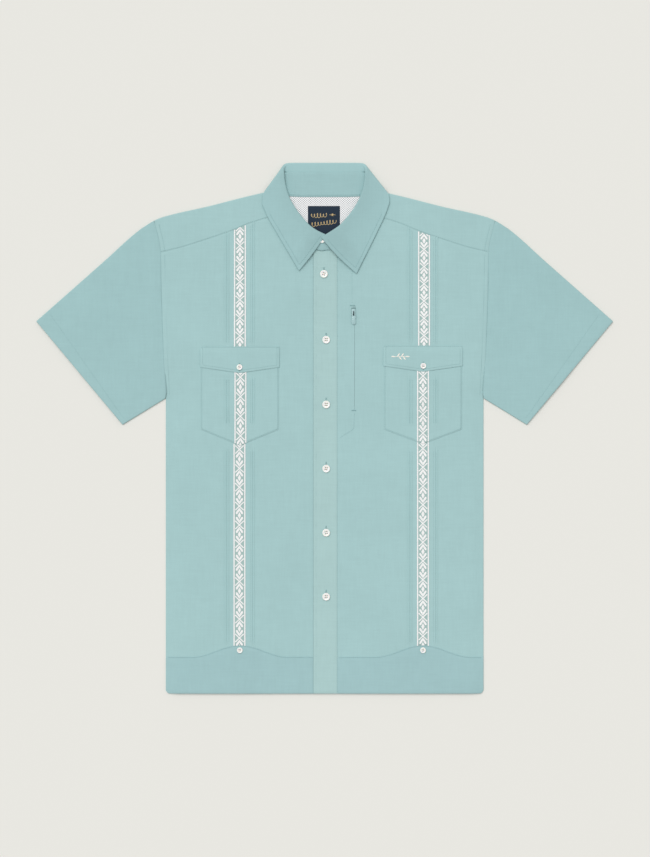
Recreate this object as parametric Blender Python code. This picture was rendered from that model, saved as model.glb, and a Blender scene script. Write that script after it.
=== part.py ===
"""A guayabera shirt, buttoned and laid flat with its front up.

The sizes below are in millimetres, and the meshes are made in metres. +X is the wearer's left, +Y runs from
the hem to the collar, +Z is up, and the shirt lies on z = 0. Many pieces are worked out in terms of `out`,
the distance from the centre line towards their own side, so that one function serves both sides.
"""

import math
from collections import namedtuple

import bmesh
import bpy
from mathutils import Vector

MM = 0.001

# Cloth walls and the stack they lie in; each height is the middle of a wall
WALL = 1.0
COLLAR_WALL = 1.2
GAP = 0.3
LAYER = WALL + GAP
BACK_Z = WALL / 2
LINING_Z = BACK_Z + LAYER
FRONT_Z = LINING_Z + LAYER
FOLD_R = (FRONT_Z - BACK_Z) / 2
FOLD_INSET = FOLD_R + WALL / 2
FOLD_STEPS = 4
FRONT_RISE = 1.2
SLEEVE_RISE = 0.8

# Body
HALF_CHEST = 246.2
HEM_Y = -411.4
HEM_ROUND = 5.0
BACK_SEAM_Y = 278.0
SIDE_DROP = 20.0
PLACKET_RIGHT, PLACKET_LEFT = -17.5, 20.6

# Seam lines of one side, as (position, value) rows
ARMHOLE_OUT = ((46.2, 246.2), (121.0, 249.9), (214.0, 253.0), (272.3, 254.0), (321.9, 264.0))  # (y, out)
SHOULDER_Y = ((84.8, 367.5), (132.0, 356.2), (177.0, 344.6), (252.8, 326.6), (264.0, 321.9))  # (out, y)
YOKE_SEAM_Y = ((78.6, 329.5), (91.0, 325.3), (117.0, 317.0), (142.0, 306.6), (186.0, 291.3),
               (224.6, 279.2), (254.0, 272.3))  # (out, y)
FRONT_NECK_Y = ((0.0, 274.5), (15.0, 276.1), (33.6, 283.8), (52.2, 297.8), (69.3, 316.4), (78.6, 329.5))
BACK_NECK_Y = ((0.0, 357.9), (55.3, 358.2), (72.4, 361.3), (84.8, 367.5))  # (out, y)
NECK_SIDE_OUT = ((329.5, 78.6), (347.4, 81.7), (367.5, 84.8))  # (y, out)

# Sleeve: the top and bottom edges, from the armhole to the cuff
SleeveRow = namedtuple("SleeveRow", "top_out top_y under_out under_y armhole_share")
SLEEVE = (
    SleeveRow(264.0, 321.9, 246.2, 46.2, 1.0),
    SleeveRow(286.3, 307.4, 258.2, 38.9, 0.75),
    SleeveRow(339.8, 260.1, 276.5, 27.7, 0.35),
    SleeveRow(393.2, 212.9, 294.7, 16.5, 0.1),
    SleeveRow(446.7, 165.7, 312.9, 5.3, 0.0),
)
ARMHOLE_GAP = 0.35
SLEEVE_SHARES = (0.08, 0.18, 0.391, 0.56, 0.729, 0.87)  # places across the sleeve, 0 at its top edge

# One front each: its side of the centre line, centre edge, embroidered band, pocket and flap
FrontRow = namedtuple("FrontRow", "name side centre_edge band_out pocket_point_y flap_top_y flap_drop_y")
FRONTS = (
    FrontRow("right", -1, -11.0, 131.5, -27.0, 126.6, 94.2),
    FrontRow("left", 1, 11.4, 152.3, -24.5, 128.0, 96.2),
)
TUCKS_OUT = (19.0, 22.8)  # from the middle of the band
TUCK_HALF, TUCK_HIGH = 1.9, 0.6
TUCK_SHOWS = ((-335.0, 0.0), (-331.0, 1.0), (-34.0, 1.0), (-30.0, 0.0), (131.0, 0.0), (135.0, 1.0))
POCKET_TUCK_SHOWS = ((4.0, 0.0), (8.0, 1.0), (78.0, 1.0), (82.0, 0.0))
BAND_HALF = 10.0
POCKET_HALF, POCKET_TOP_Y, POCKET_CORNER_Y = 60.6, 112.0, -2.0
FLAP_HALF, FLAP_POINT, FLAP_SEWN = 61.5, 8.8, 10.0
HEM_BAND_Y, HEM_PEAK, HEM_PEAK_HALF = -354.0, 18.0, 75.0

# Lining and label in the neck
LINING_HALF, LINING_BOTTOM_Y = 81.0, 258.0
LABEL_RIGHT, LABEL_LEFT, LABEL_BOTTOM_Y, LABEL_TOP_Y = -26.0, 23.6, 302.3, 344.3

# Collar: one row a station, from the centre back round to the centre front. `turn` is how far the fall has
# come round the stand, from 0 (beneath it) to 180 (on top of it); `shut` is 1 where the ends overlap.
CollarRow = namedtuple(
    "CollarRow",
    "turn neck_out neck_y roll_out roll_y right_out right_y left_out left_y neck_z roll_z roll_r edge_z shut",
)
COLLAR = (
    CollarRow(0, 0.0, 358.3, 0.0, 410.8, 0.0, 369.5, 0.0, 369.5, 3.2, 3.2, 1.3, 0.6, 0.0),
    CollarRow(0, 31.0, 358.3, 29.0, 410.8, 32.0, 369.5, 32.0, 369.5, 3.2, 3.2, 1.3, 0.6, 0.0),
    CollarRow(0, 60.0, 359.6, 49.0, 410.8, 62.0, 370.0, 62.0, 370.0, 3.2, 3.2, 1.3, 0.6, 0.0),
    CollarRow(45, 75.0, 363.5, 57.0, 409.8, 82.0, 371.8, 83.0, 372.4, 3.4, 3.2, 1.5, 1.8, 0.0),
    CollarRow(90, 82.5, 368.6, 60.6, 405.8, 91.2, 368.6, 93.0, 369.4, 4.6, 4.3, 1.8, 5.0, 0.0),
    CollarRow(135, 84.2, 366.0, 62.4, 399.5, 95.9, 359.6, 99.4, 361.0, 4.8, 6.0, 1.7, 4.9, 0.0),
    CollarRow(180, 83.6, 358.0, 62.6, 391.0, 96.6, 348.0, 100.4, 351.5, 4.8, 6.0, 1.7, 4.5, 0.0),
    CollarRow(180, 82.0, 350.0, 61.2, 379.0, 93.5, 338.8, 97.8, 341.0, 4.6, 5.6, 1.8, 4.5, 0.0),
    CollarRow(180, 79.5, 337.0, 55.9, 360.0, 86.2, 323.0, 91.8, 325.8, 4.5, 5.0, 1.9, 4.5, 0.0),
    CollarRow(180, 73.5, 322.0, 47.2, 343.2, 77.5, 308.0, 83.6, 308.4, 4.5, 5.0, 1.9, 4.5, 0.0),
    CollarRow(180, 60.0, 305.5, 35.3, 326.8, 66.5, 289.2, 74.2, 289.0, 4.5, 5.0, 1.9, 4.5, 0.0),
    CollarRow(180, 42.0, 290.0, 23.0, 313.8, 56.0, 271.6, 64.6, 269.6, 4.5, 5.0, 2.2, 4.5, 0.0),
    CollarRow(180, 20.0, 278.6, 12.0, 306.0, 46.4, 255.0, 56.4, 253.2, 4.5, 5.0, 2.6, 4.5, 0.8),
    CollarRow(180, 3.0, 275.4, 3.4, 301.0, 39.8, 243.5, 49.6, 239.3, 4.5, 5.0, 2.6, 4.5, 1.0),
)
STAND_SHARE = 0.72  # of the way from the neckline to the roll
COLLAR_SEAM, COLLAR_SEAM_AT_FOLD = 0.6, 4.0  # between stand and fall, which would meet inside the side folds
STAND_END_OUT, STAND_END_Y, STAND_END_TOP_Y = -15.0, 276.9, 297.0
CLOSING_LIFT = 1.5  # how far the left end of the stand passes over the right end
CLOSING_ROLL = 0.5  # how much tighter its roll is, under the same leaf height
LEAF_BOW = {"right": 3.2, "left": 6.5}

# Buttons, with their places on the placket, flaps and hem bands
BUTTON_D, SMALL_BUTTON_D, COLLAR_BUTTON_D = 12.0, 9.0, 11.4
BUTTON_THICK, BUTTON_HOLE_D, BUTTON_HOLE_OUT = 1.8, 1.6, 1.5
BUTTON_PROFILE = ((0.8, 0.0), (1.0, 0.5), (0.88, 1.0), (0.66, 0.75))  # shares of the radius and the thickness
BUTTON_X = 2.3
TOP_BUTTON = (-1.2, 238.9)
BUTTON_YS = (137.0, 36.6, -62.8, -162.0, -261.2)
COLLAR_BUTTON = (-4.0, 292.4)
FLAP_BUTTON_IN, FLAP_BUTTON_UP = 0.4, 9.0
HEM_BUTTON_UP = 8.0

# Concealed zip, its slider and its pull
ZIP_X, ZIP_TOP_Y, ZIP_BOTTOM_Y, ZIP_SLIT = 44.9, 186.0, 23.4, 1.5
SLIDER_HOLE, SLIDER_HOLE_Y = 7.6, 173.2
TAPE_HALF, TAPE_PAST = 11.0, 9.0
SLIDER_W, SLIDER_Y0, SLIDER_Y1, SLIDER_TOP_Z = 6.4, 174.3, 184.6, 3.9
PIVOT_Y, PIVOT_Z = 178.1, 4.65
BRIDGE_W, BRIDGE_HALF, BRIDGE_LEG, BRIDGE_OPEN, BRIDGE_SUNK = 1.4, 3.4, 0.9, 1.5, 0.2
PULL_W, PULL_LONG, PULL_THICK, PULL_BAR = 6.2, 17.8, 0.9, 0.8
PULL_WINDOW_HALF, PULL_WINDOW_LONG = 1.1, 4.2

# Colours, as linear RGB
TEAL = (0.37, 0.57, 0.57)
WHITE = (0.85, 0.85, 0.84)
NAVY = (0.028, 0.047, 0.078)
PEARL = (0.87, 0.86, 0.82)
METAL_TEAL = (0.30, 0.50, 0.50)


# ---------------------------------------------------------------- helpers

def along(rows, at):
    """The value at a position in a table of (position, value) rows, by straight lines between them."""
    if at <= rows[0][0]:
        return rows[0][1]
    for (a, value_a), (b, value_b) in zip(rows, rows[1:]):
        if at <= b:
            return value_a + (value_b - value_a) * (at - a) / (b - a)
    return rows[-1][1]


def ease(share):
    """0 to 1 with level ends."""
    share = min(max(share, 0.0), 1.0)
    return share * share * (3.0 - 2.0 * share)


def finish(name, colour, roughness, metallic=0.0):
    """A material with one Principled BSDF."""
    material = bpy.data.materials.new(name)
    material.use_nodes = True
    shader = material.node_tree.nodes["Principled BSDF"]
    shader.inputs["Base Color"].default_value = (*colour, 1.0)
    shader.inputs["Roughness"].default_value = roughness
    shader.inputs["Metallic"].default_value = metallic
    return material


def add_object(name, mesh_data, material):
    """A new object in the scene, with its material."""
    mesh_data.materials.append(material)
    piece = bpy.data.objects.new(name, mesh_data)
    bpy.context.scene.collection.objects.link(piece)
    return piece


def thicken(piece, wall, even=True):
    """A Solidify modifier that puts the wall's middle on the mesh. Sharp folds can't take an even offset."""
    solidify = piece.modifiers.new("wall", "SOLIDIFY")
    solidify.thickness = wall * MM
    solidify.offset = 0.0
    solidify.use_even_offset = even


def cloth(name, rows, material, wall=WALL, missing=(), closed=False, even=True):
    """A cloth wall through rows of (x, y, z) points. A missing cell, (row, column), leaves a hole.
    None in a row leaves the cells around it out. Closed rows join their last point to their first."""
    shape = bmesh.new()
    verts = [[p and shape.verts.new(Vector(p) * MM) for p in row] for row in rows]
    width = len(rows[0])
    for i in range(len(rows) - 1):
        for j in range(width if closed else width - 1):
            k = (j + 1) % width
            corners = (verts[i][j], verts[i][k], verts[i + 1][k], verts[i + 1][j])
            if None not in corners and (i, j) not in missing:
                shape.faces.new(corners)
    mesh_data = bpy.data.meshes.new(name)
    shape.to_mesh(mesh_data)
    shape.free()
    thicken(add_object(name, mesh_data, material), wall, even)


def flat_cloth(name, outline, z, material):
    """A flat cloth wall with an outline of (x, y) points, its middle at z."""
    mesh_data = bpy.data.meshes.new(name)
    mesh_data.from_pydata([(x * MM, y * MM, z * MM) for x, y in outline], [], [range(len(outline))])
    thicken(add_object(name, mesh_data, material), WALL)


def mirrored(points):
    """An outline from its +X half, which runs from the bottom of the centre line to the top."""
    return list(points) + [(-x, y) for x, y in reversed(points) if x > 0.0]


# ---------------------------------------------------------------- where the fronts lie

def leaned(out, y):
    """A panel's point, moved out with the armhole: fully at its side edge, not at all near the middle."""
    lean = ease((out - (HALF_CHEST - SIDE_DROP)) / SIDE_DROP)
    return out + (along(ARMHOLE_OUT, y) - HALF_CHEST) * lean


def front_height(out, y):
    """The middle of the front's wall, without its tucks: a low rise over each half, lower at the sides."""
    half = (HALF_CHEST - PLACKET_LEFT)
    across = math.sin(math.pi * min(max((out - PLACKET_LEFT) / half, 0.0), 1.0)) ** 2
    upwards = ease((250.0 - y) / 100.0) * (1.0 - 0.6 * ease((-330.0 - y) / 80.0))
    at_side = ease((out - (HALF_CHEST - SIDE_DROP)) / SIDE_DROP) * ease((110.0 - y) / 60.0)
    return FRONT_Z + FRONT_RISE * across * upwards - LAYER * at_side


def tuck_height(across):
    """How far the tucks stand out at a distance from the middle of the band."""
    nearest = min(abs(abs(across) - tuck) for tuck in TUCKS_OUT)
    return TUCK_HIGH * max(0.0, 1.0 - nearest / TUCK_HALF)


def tuck_columns():
    """The feet and ridges of both pairs of tucks, from the middle of the band."""
    inner, outer = TUCKS_OUT
    pair = (inner - TUCK_HALF, inner, (inner + outer) / 2, outer, outer + TUCK_HALF)
    return [-c for c in reversed(pair)] + list(pair)


def hem_y(out):
    """The hem, with its corner rounded at the side seam."""
    past = max(0.0, (out - (HALF_CHEST - HEM_ROUND)) / HEM_ROUND)
    return HEM_Y + HEM_ROUND * past * past


def front_top_y(out):
    """The front's upper edge: the neckline, then the yoke seam."""
    table = FRONT_NECK_Y if abs(out) < FRONT_NECK_Y[-1][0] else YOKE_SEAM_Y
    return along(table, abs(out)) - GAP


def hem_band_top_y(across):
    """The hem band's upper edge, which rises to a round peak under the embroidered band."""
    share = min(abs(across) / HEM_PEAK_HALF, 1.0)
    return HEM_BAND_Y + HEM_PEAK * math.cos(math.pi * share / 2) ** 2


# ---------------------------------------------------------------- body panels

def make_back(material):
    side = [(along(ARMHOLE_OUT, y), y) for y, _ in ARMHOLE_OUT[:-1]]
    top = BACK_SEAM_Y - GAP
    hem = [(out, hem_y(out)) for out in (0.0, 241.2, 243.8, 245.4, HALF_CHEST)]
    half = hem + side + [(along(ARMHOLE_OUT, top), top), (0.0, top)]
    flat_cloth("back", mirrored(half), BACK_Z, material)


def make_yoke(material):
    """The yoke lies under the neck, folds over at the shoulders and comes down to the front yoke seams."""
    wing = (84.8, 91.0, 117.0, 142.0, 186.0, 224.6, 236.0, HALF_CHEST)
    neck = [out for out, _ in BACK_NECK_Y[:-1]]
    half = neck + list(wing)
    columns = [(-1, out) for out in reversed(half[1:])] + [(1, out) for out in half]
    seam_lean_y = YOKE_SEAM_Y[-1][1]

    def profile(side, out):
        edge = leaned(out, SHOULDER_Y[-1][1] if out > wing[0] else 0.0)
        points = [(side * leaned(out, BACK_SEAM_Y), BACK_SEAM_Y, BACK_Z)]
        if out < wing[0]:
            points.append((side * out, along(BACK_NECK_Y, out), BACK_Z))
            return points + [None] * (FOLD_STEPS + 3)
        fold_y = along(SHOULDER_Y, edge) - FOLD_INSET
        for step in range(FOLD_STEPS + 1):
            angle = math.pi * step / FOLD_STEPS
            y = fold_y + FOLD_R * math.sin(angle)
            points.append((side * leaned(out, y), y, BACK_Z + FOLD_R * (1.0 - math.cos(angle))))
        inner = max(0.0, 1.0 - (out - wing[0]) / (wing[1] - wing[0]))
        seam_out = leaned(out, seam_lean_y) + (NECK_SIDE_OUT[0][1] - wing[0]) * inner
        seam_y = along(YOKE_SEAM_Y, seam_out)
        for share in (0.35, 0.7, 1.0):
            y = fold_y + (seam_y - fold_y) * share
            x = leaned(out, y if share < 1.0 else seam_lean_y) + (along(NECK_SIDE_OUT, y) - wing[0]) * inner
            points.append((side * x, y, FRONT_Z))
        return points

    cloth("yoke", [profile(side, out) for side, out in columns], material)


def make_front(row, material):
    """A front, with its tucks as ridges; the left front has the slit of the zip and the slider's hole."""
    columns = {row.centre_edge, 206.0, 226.2, 232.0, 237.0, 241.2, 243.8, HALF_CHEST}
    columns |= {out for out, _ in FRONT_NECK_Y + YOKE_SEAM_Y[:-1] if out > row.centre_edge}
    columns |= {row.band_out + across for across in tuck_columns()}
    levels = {-240.0, -140.0, 90.0, 250.0}
    levels |= {y for y, _ in ARMHOLE_OUT[:3]} | {y for y, _ in TUCK_SHOWS}
    slit, hole = ZIP_SLIT / 2, SLIDER_HOLE / 2
    if row.side > 0:
        columns |= {ZIP_X - hole, ZIP_X - slit, ZIP_X + slit, ZIP_X + hole}
        levels |= {ZIP_BOTTOM_Y, SLIDER_HOLE_Y, ZIP_TOP_Y}
    columns, levels = sorted(columns), sorted(levels)

    def point(out, y, x_out):
        tuck = tuck_height(out - row.band_out) * along(TUCK_SHOWS, y)
        return (row.side * x_out, y, front_height(out, y) + tuck)

    rows = [[point(out, hem_y(out), out) for out in columns]]
    rows += [[point(out, y, leaned(out, y)) for out in columns] for y in levels]
    seam = [leaned(out, YOKE_SEAM_Y[-1][1]) for out in columns]
    rows.append([point(out, front_top_y(x_out), x_out) for out, x_out in zip(columns, seam)])

    missing = set()
    if row.side > 0:
        for i, (low, high) in enumerate(zip([HEM_Y] + levels, levels)):
            half = hole if low >= SLIDER_HOLE_Y else slit
            if low >= ZIP_BOTTOM_Y and high <= ZIP_TOP_Y:
                missing |= {(i, j) for j, out in enumerate(columns) if -half <= out + 0.01 - ZIP_X < half}
    cloth(f"front_{row.name}", rows, material, missing=missing)


def make_placket(material):
    """The strip down the centre, on both fronts."""
    top = [(x, front_top_y(x)) for x in (PLACKET_LEFT, 15.0, 0.0, -15.0, PLACKET_RIGHT)]
    outline = [(PLACKET_RIGHT, HEM_Y), (PLACKET_LEFT, HEM_Y)] + top
    flat_cloth("placket", outline, FRONT_Z + LAYER, material)


def make_lining(material):
    half = [(0.0, LINING_BOTTOM_Y), (LINING_HALF, LINING_BOTTOM_Y)]
    half += [(LINING_HALF, along(BACK_NECK_Y, LINING_HALF)), (72.4, 361.3), (55.3, 358.2), (0.0, 357.9)]
    flat_cloth("yoke_lining", mirrored(half), LINING_Z, material)


def make_label(material):
    outline = [(LABEL_RIGHT, LABEL_BOTTOM_Y), (LABEL_LEFT, LABEL_BOTTOM_Y),
               (LABEL_LEFT, LABEL_TOP_Y), (LABEL_RIGHT, LABEL_TOP_Y)]
    flat_cloth("neck_label", outline, FRONT_Z, material)


def make_sleeve(name, side, material):
    """A flattened tube from the armhole to the cuff, folded along its top and its underside."""
    armhole_top, armhole_bottom = SLEEVE[0].top_y, SLEEVE[0].under_y

    def place(row, share, inwards=0.0):
        """A point across the sleeve, by its share and then so many millimetres on, towards the underside."""
        across = Vector((row.under_out - row.top_out, row.under_y - row.top_y))
        point = Vector((row.top_out, row.top_y)) + across * share + across.normalized() * inwards
        level = armhole_top + (armhole_bottom - armhole_top) * share
        chord = SLEEVE[0].top_out + (SLEEVE[0].under_out - SLEEVE[0].top_out) * share
        point.x += (along(ARMHOLE_OUT, level) - chord) * row.armhole_share + ARMHOLE_GAP
        return point

    def ring(row, swell):
        upper = [(place(row, s), FRONT_Z + SLEEVE_RISE * swell * math.sin(math.pi * s) ** 2)
                 for s in SLEEVE_SHARES]
        lower = [(place(row, s), BACK_Z) for s in reversed(SLEEVE_SHARES)]
        folds = []
        for share, towards in ((1.0, 1.0), (0.0, -1.0)):
            fold = []
            for step in range(FOLD_STEPS + 1):
                angle = math.pi * step / FOLD_STEPS
                inwards = towards * (FOLD_R * math.sin(angle) - FOLD_INSET)
                height = BACK_Z + FOLD_R * (1.0 + towards * math.cos(angle))
                fold.append((place(row, share, inwards), height))
            folds.append(fold)
        loop = upper + folds[0] + lower + folds[1]
        return [(side * point.x, point.y, z) for point, z in loop]

    swells = (0.0, 0.7, 1.0, 0.7, 0.2)
    cloth(name, [ring(row, swell) for row, swell in zip(SLEEVE, swells)], material, closed=True)


# ---------------------------------------------------------------- collar

def collar_stations(side):
    """The collar's rows for one side, with the left end lifted over the right end."""
    for row in COLLAR:
        lift = CLOSING_LIFT * row.shut if side > 0 else 0.0
        neck = Vector((side * row.neck_out, row.neck_y, row.neck_z + lift))
        roll = Vector((side * row.roll_out, row.roll_y, row.roll_z + lift))
        out, y = (row.left_out, row.left_y) if side > 0 else (row.right_out, row.right_y)
        edge = Vector((side * out, y, row.edge_z))
        radius = row.roll_r - (CLOSING_ROLL * row.shut if side > 0 else 0.0)
        yield row, neck, roll, edge, radius


def collar_seam(row):
    """Half of the space left between the stand and the fall."""
    return (COLLAR_SEAM + (COLLAR_SEAM_AT_FOLD - COLLAR_SEAM) * math.sin(math.radians(row.turn))) / 2


def fall_profile(name, side, row, neck, roll, edge, radius):
    """Points from the top of the stand, round the roll line, to the collar's outer edge."""
    plan = Vector((roll.x - neck.x, roll.y - neck.y, 0.0)).normalized()
    outwards = Vector((side * abs(plan.y), -side * plan.x, 0.0))
    turn = math.radians(row.turn)
    round_it = Vector((0.0, 0.0, -math.cos(turn))) + outwards * math.sin(turn)
    start = neck.lerp(roll, STAND_SHARE) + plan * collar_seam(row)
    points = [start]
    centre = roll + (round_it - plan) * radius
    for step in range(FOLD_STEPS + 1):
        angle = math.pi * step / FOLD_STEPS
        points.append(centre + (plan * math.sin(angle) - round_it * math.cos(angle)) * radius)
    last = points[-1]
    bow = Vector((-side * (last.y - edge.y), -abs(edge.x - last.x), 0.0)).normalized()
    for share in (0.25, 0.5, 0.75, 1.0):
        point = last.lerp(edge, share)
        point.z = last.z + (edge.z - last.z) * share * share
        point += bow * (LEAF_BOW[name] * row.shut ** 3 * 4.0 * share * (1.0 - share))
        points.append(point)
    return points


def stand_profile(row, neck, roll):
    """Points from the neckline to the top of the stand."""
    plan = Vector((roll.x - neck.x, roll.y - neck.y, 0.0)).normalized()
    top = neck.lerp(roll, STAND_SHARE) - plan * collar_seam(row)
    return [neck, neck.lerp(top, 0.5), top]


def make_collar(material):
    """The stand and the fall, each one ring that is open at the centre front."""
    falls, stands = {}, {}
    for name, side in (("right", -1), ("left", 1)):
        stations = list(collar_stations(side))
        falls[name] = [fall_profile(name, side, *station) for station in stations]
        stands[name] = [stand_profile(row, neck, roll) for row, neck, roll, _, _ in stations]
        last_neck, last_roll = stations[-1][1:3]
        end = Vector((side * STAND_END_OUT, STAND_END_Y, last_neck.z))
        top = Vector((side * (STAND_END_OUT + 1.0), STAND_END_TOP_Y, last_roll.z))
        stands[name].append(stand_profile(COLLAR[-1], end, top))
    cloth("collar_fall", falls["right"][::-1] + falls["left"][1:], material, COLLAR_WALL, even=False)
    cloth("collar_stand", stands["right"][::-1] + stands["left"][1:], material, COLLAR_WALL, even=False)


# ---------------------------------------------------------------- what is sewn on the fronts

def on_front(row, columns, rows_of_y, layers, tucks=None):
    """Rows of points that follow the front, so many layers above it. Columns run from the band's middle."""
    grid = []
    for y_at in rows_of_y:
        line = []
        for across in columns:
            out, y = row.band_out + across, y_at(across)
            high = layers(y) if callable(layers) else layers
            tuck = tuck_height(across) * along(tucks, y) if tucks else 0.0
            line.append((row.side * out, y, front_height(out, y) + LAYER * high + tuck))
        grid.append(line)
    return grid


def at(y):
    """A straight row for on_front."""
    return lambda across: y


def make_pocket(row, material):
    def bottom(across):
        share = abs(across) / POCKET_HALF
        return row.pocket_point_y + (POCKET_CORNER_Y - row.pocket_point_y) * share

    columns = sorted([-POCKET_HALF, -44.0, 0.0, 44.0, POCKET_HALF] + tuck_columns())
    levels = [at(y) for y in sorted({y for y, _ in POCKET_TUCK_SHOWS} | {45.0, POCKET_TOP_Y})]
    cloth(f"pocket_{row.name}", on_front(row, columns, [bottom] + levels, 1, POCKET_TUCK_SHOWS), material)


def flap_bottom_y(row, across):
    return row.flap_drop_y - FLAP_POINT * (1.0 - abs(across) / FLAP_HALF)


def make_flap(row, material):
    """Sewn to the front along its top, and lying over the pocket below."""
    def layers(y):
        return 2.0 - ease((y - (row.flap_top_y - FLAP_SEWN)) / FLAP_SEWN)

    columns = (-FLAP_HALF, -30.0, 0.0, 30.0, FLAP_HALF)
    top = row.flap_top_y
    levels = [at(top - FLAP_SEWN), at(top - FLAP_SEWN / 2), at(top)]
    rows_of_y = [lambda across: flap_bottom_y(row, across)] + levels
    cloth(f"flap_{row.name}", on_front(row, columns, rows_of_y, layers), material)


def make_hem_band(row, material):
    """The curved band along the hem of one front, from the placket to the side seam."""
    centre = (PLACKET_LEFT if row.side > 0 else -PLACKET_RIGHT) + GAP
    outs = [centre, 48.0, 226.2, 232.0, 237.0, 241.2, 243.8, HALF_CHEST]
    outs += [row.band_out + fifth / 5 * HEM_PEAK_HALF for fifth in range(-4, 5)]
    columns = [out - row.band_out for out in sorted(outs)]
    rows_of_y = [lambda across: hem_y(row.band_out + across), at(-382.0), hem_band_top_y]
    cloth(f"hem_band_{row.name}", on_front(row, columns, rows_of_y, 1), material)


def make_bands(row, material):
    """The embroidered band, in three stretches: above the flap, on the pocket and below it."""
    columns = (-BAND_HALF, BAND_HALF)
    seam = min(front_top_y(row.band_out + across) for across in columns) - GAP
    stretches = (
        ("upper", 1, (row.flap_top_y + 2.0, 180.0, 250.0, seam)),
        ("pocket", 2, (row.pocket_point_y + 7.0, 30.0, row.flap_drop_y - FLAP_POINT - 1.0)),
        ("lower", 1, (hem_band_top_y(BAND_HALF) + 2.0, -240.0, -140.0, row.pocket_point_y - 2.0)),
    )
    for part, layers, ys in stretches:
        grid = on_front(row, columns, [at(y) for y in ys], layers)
        cloth(f"band_{row.name}_{part}", grid, material)


# ---------------------------------------------------------------- buttons

def make_button(name, x, y, z, diameter, material):
    """A turned disc with a raised rim and four holes, its underside at z."""
    radius, steps = diameter / 2, 16
    shape = bmesh.new()
    rings = []
    for reach, height in BUTTON_PROFILE:
        ring = []
        for i in range(steps):
            turn = 2.0 * math.pi * i / steps
            rim = Vector((math.cos(turn), math.sin(turn), 0.0)) * radius * reach
            ring.append(shape.verts.new((rim + Vector((0.0, 0.0, height * BUTTON_THICK))) * MM))
        rings.append(ring)
    for low, high in zip(rings, rings[1:]):
        for i in range(steps):
            j = (i + 1) % steps
            shape.faces.new((low[i], low[j], high[j], high[i]))
    shape.faces.new(rings[0][::-1])
    shape.faces.new(rings[-1])
    mesh_data = bpy.data.meshes.new(name)
    shape.to_mesh(mesh_data)
    shape.free()
    button = add_object(name, mesh_data, material)
    button.location = Vector((x, y, z)) * MM
    holes = button.modifiers.new("holes", "BOOLEAN")
    holes.operation = "DIFFERENCE"
    holes.object = make_hole_cutter(name, button.location, diameter / BUTTON_D)


def make_hole_cutter(name, place, scale):
    """Four pins that cut a button's holes."""
    shape = bmesh.new()
    for i in range(4):
        turn = math.pi / 4 + math.pi / 2 * i
        made = bmesh.ops.create_cone(
            shape, cap_ends=True, segments=6, radius1=BUTTON_HOLE_D / 2 * scale * MM,
            radius2=BUTTON_HOLE_D / 2 * scale * MM, depth=3.0 * BUTTON_THICK * MM)
        away = Vector((math.cos(turn), math.sin(turn), 0.0)) * BUTTON_HOLE_OUT * scale * MM
        bmesh.ops.translate(shape, verts=made["verts"], vec=away)
    mesh_data = bpy.data.meshes.new(f"{name}_cutter")
    shape.to_mesh(mesh_data)
    shape.free()
    cutter = bpy.data.objects.new(f"{name}_cutter", mesh_data)
    bpy.context.scene.collection.objects.link(cutter)
    cutter.location = place
    cutter.hide_render = True
    cutter.display_type = "WIRE"
    return cutter


def make_buttons(material):
    on_placket = FRONT_Z + LAYER + WALL / 2 + GAP
    places = [TOP_BUTTON] + [(BUTTON_X, y) for y in BUTTON_YS]
    for number, (x, y) in enumerate(places, start=1):
        make_button(f"button_{number}", x, y, on_placket, BUTTON_D, material)
    on_stand = COLLAR[-1].neck_z + (COLLAR[-1].roll_z - COLLAR[-1].neck_z) * STAND_SHARE
    on_stand += CLOSING_LIFT + COLLAR_WALL / 2 + GAP
    make_button("button_collar", *COLLAR_BUTTON, on_stand, COLLAR_BUTTON_D, material)
    for row in FRONTS:
        out, y = row.band_out + FLAP_BUTTON_IN, flap_bottom_y(row, 0.0) + FLAP_BUTTON_UP
        z = front_height(out, y) + 2 * LAYER + WALL / 2 + GAP
        make_button(f"button_flap_{row.name}", row.side * out, y, z, SMALL_BUTTON_D, material)
        y = hem_band_top_y(0.0) - HEM_BUTTON_UP
        z = front_height(row.band_out, y) + LAYER + WALL / 2 + GAP
        make_button(f"button_hem_{row.name}", row.side * row.band_out, y, z, SMALL_BUTTON_D, material)


# ---------------------------------------------------------------- zip

def add_box(shape, low, high):
    """A box between two corners, in millimetres."""
    low, high = Vector(low), Vector(high)
    made = bmesh.ops.create_cube(shape, size=1.0)
    for vert in made["verts"]:
        share = vert.co + Vector((0.5, 0.5, 0.5))
        vert.co = Vector(low[i] + (high[i] - low[i]) * share[i] for i in range(3)) * MM


def make_tape(material):
    outline = [(ZIP_X - TAPE_HALF, ZIP_BOTTOM_Y - TAPE_PAST), (ZIP_X + TAPE_HALF, ZIP_BOTTOM_Y - TAPE_PAST),
               (ZIP_X + TAPE_HALF, ZIP_TOP_Y + TAPE_PAST), (ZIP_X - TAPE_HALF, ZIP_TOP_Y + TAPE_PAST)]
    flat_cloth("zip_tape", outline, LINING_Z, material)


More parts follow.
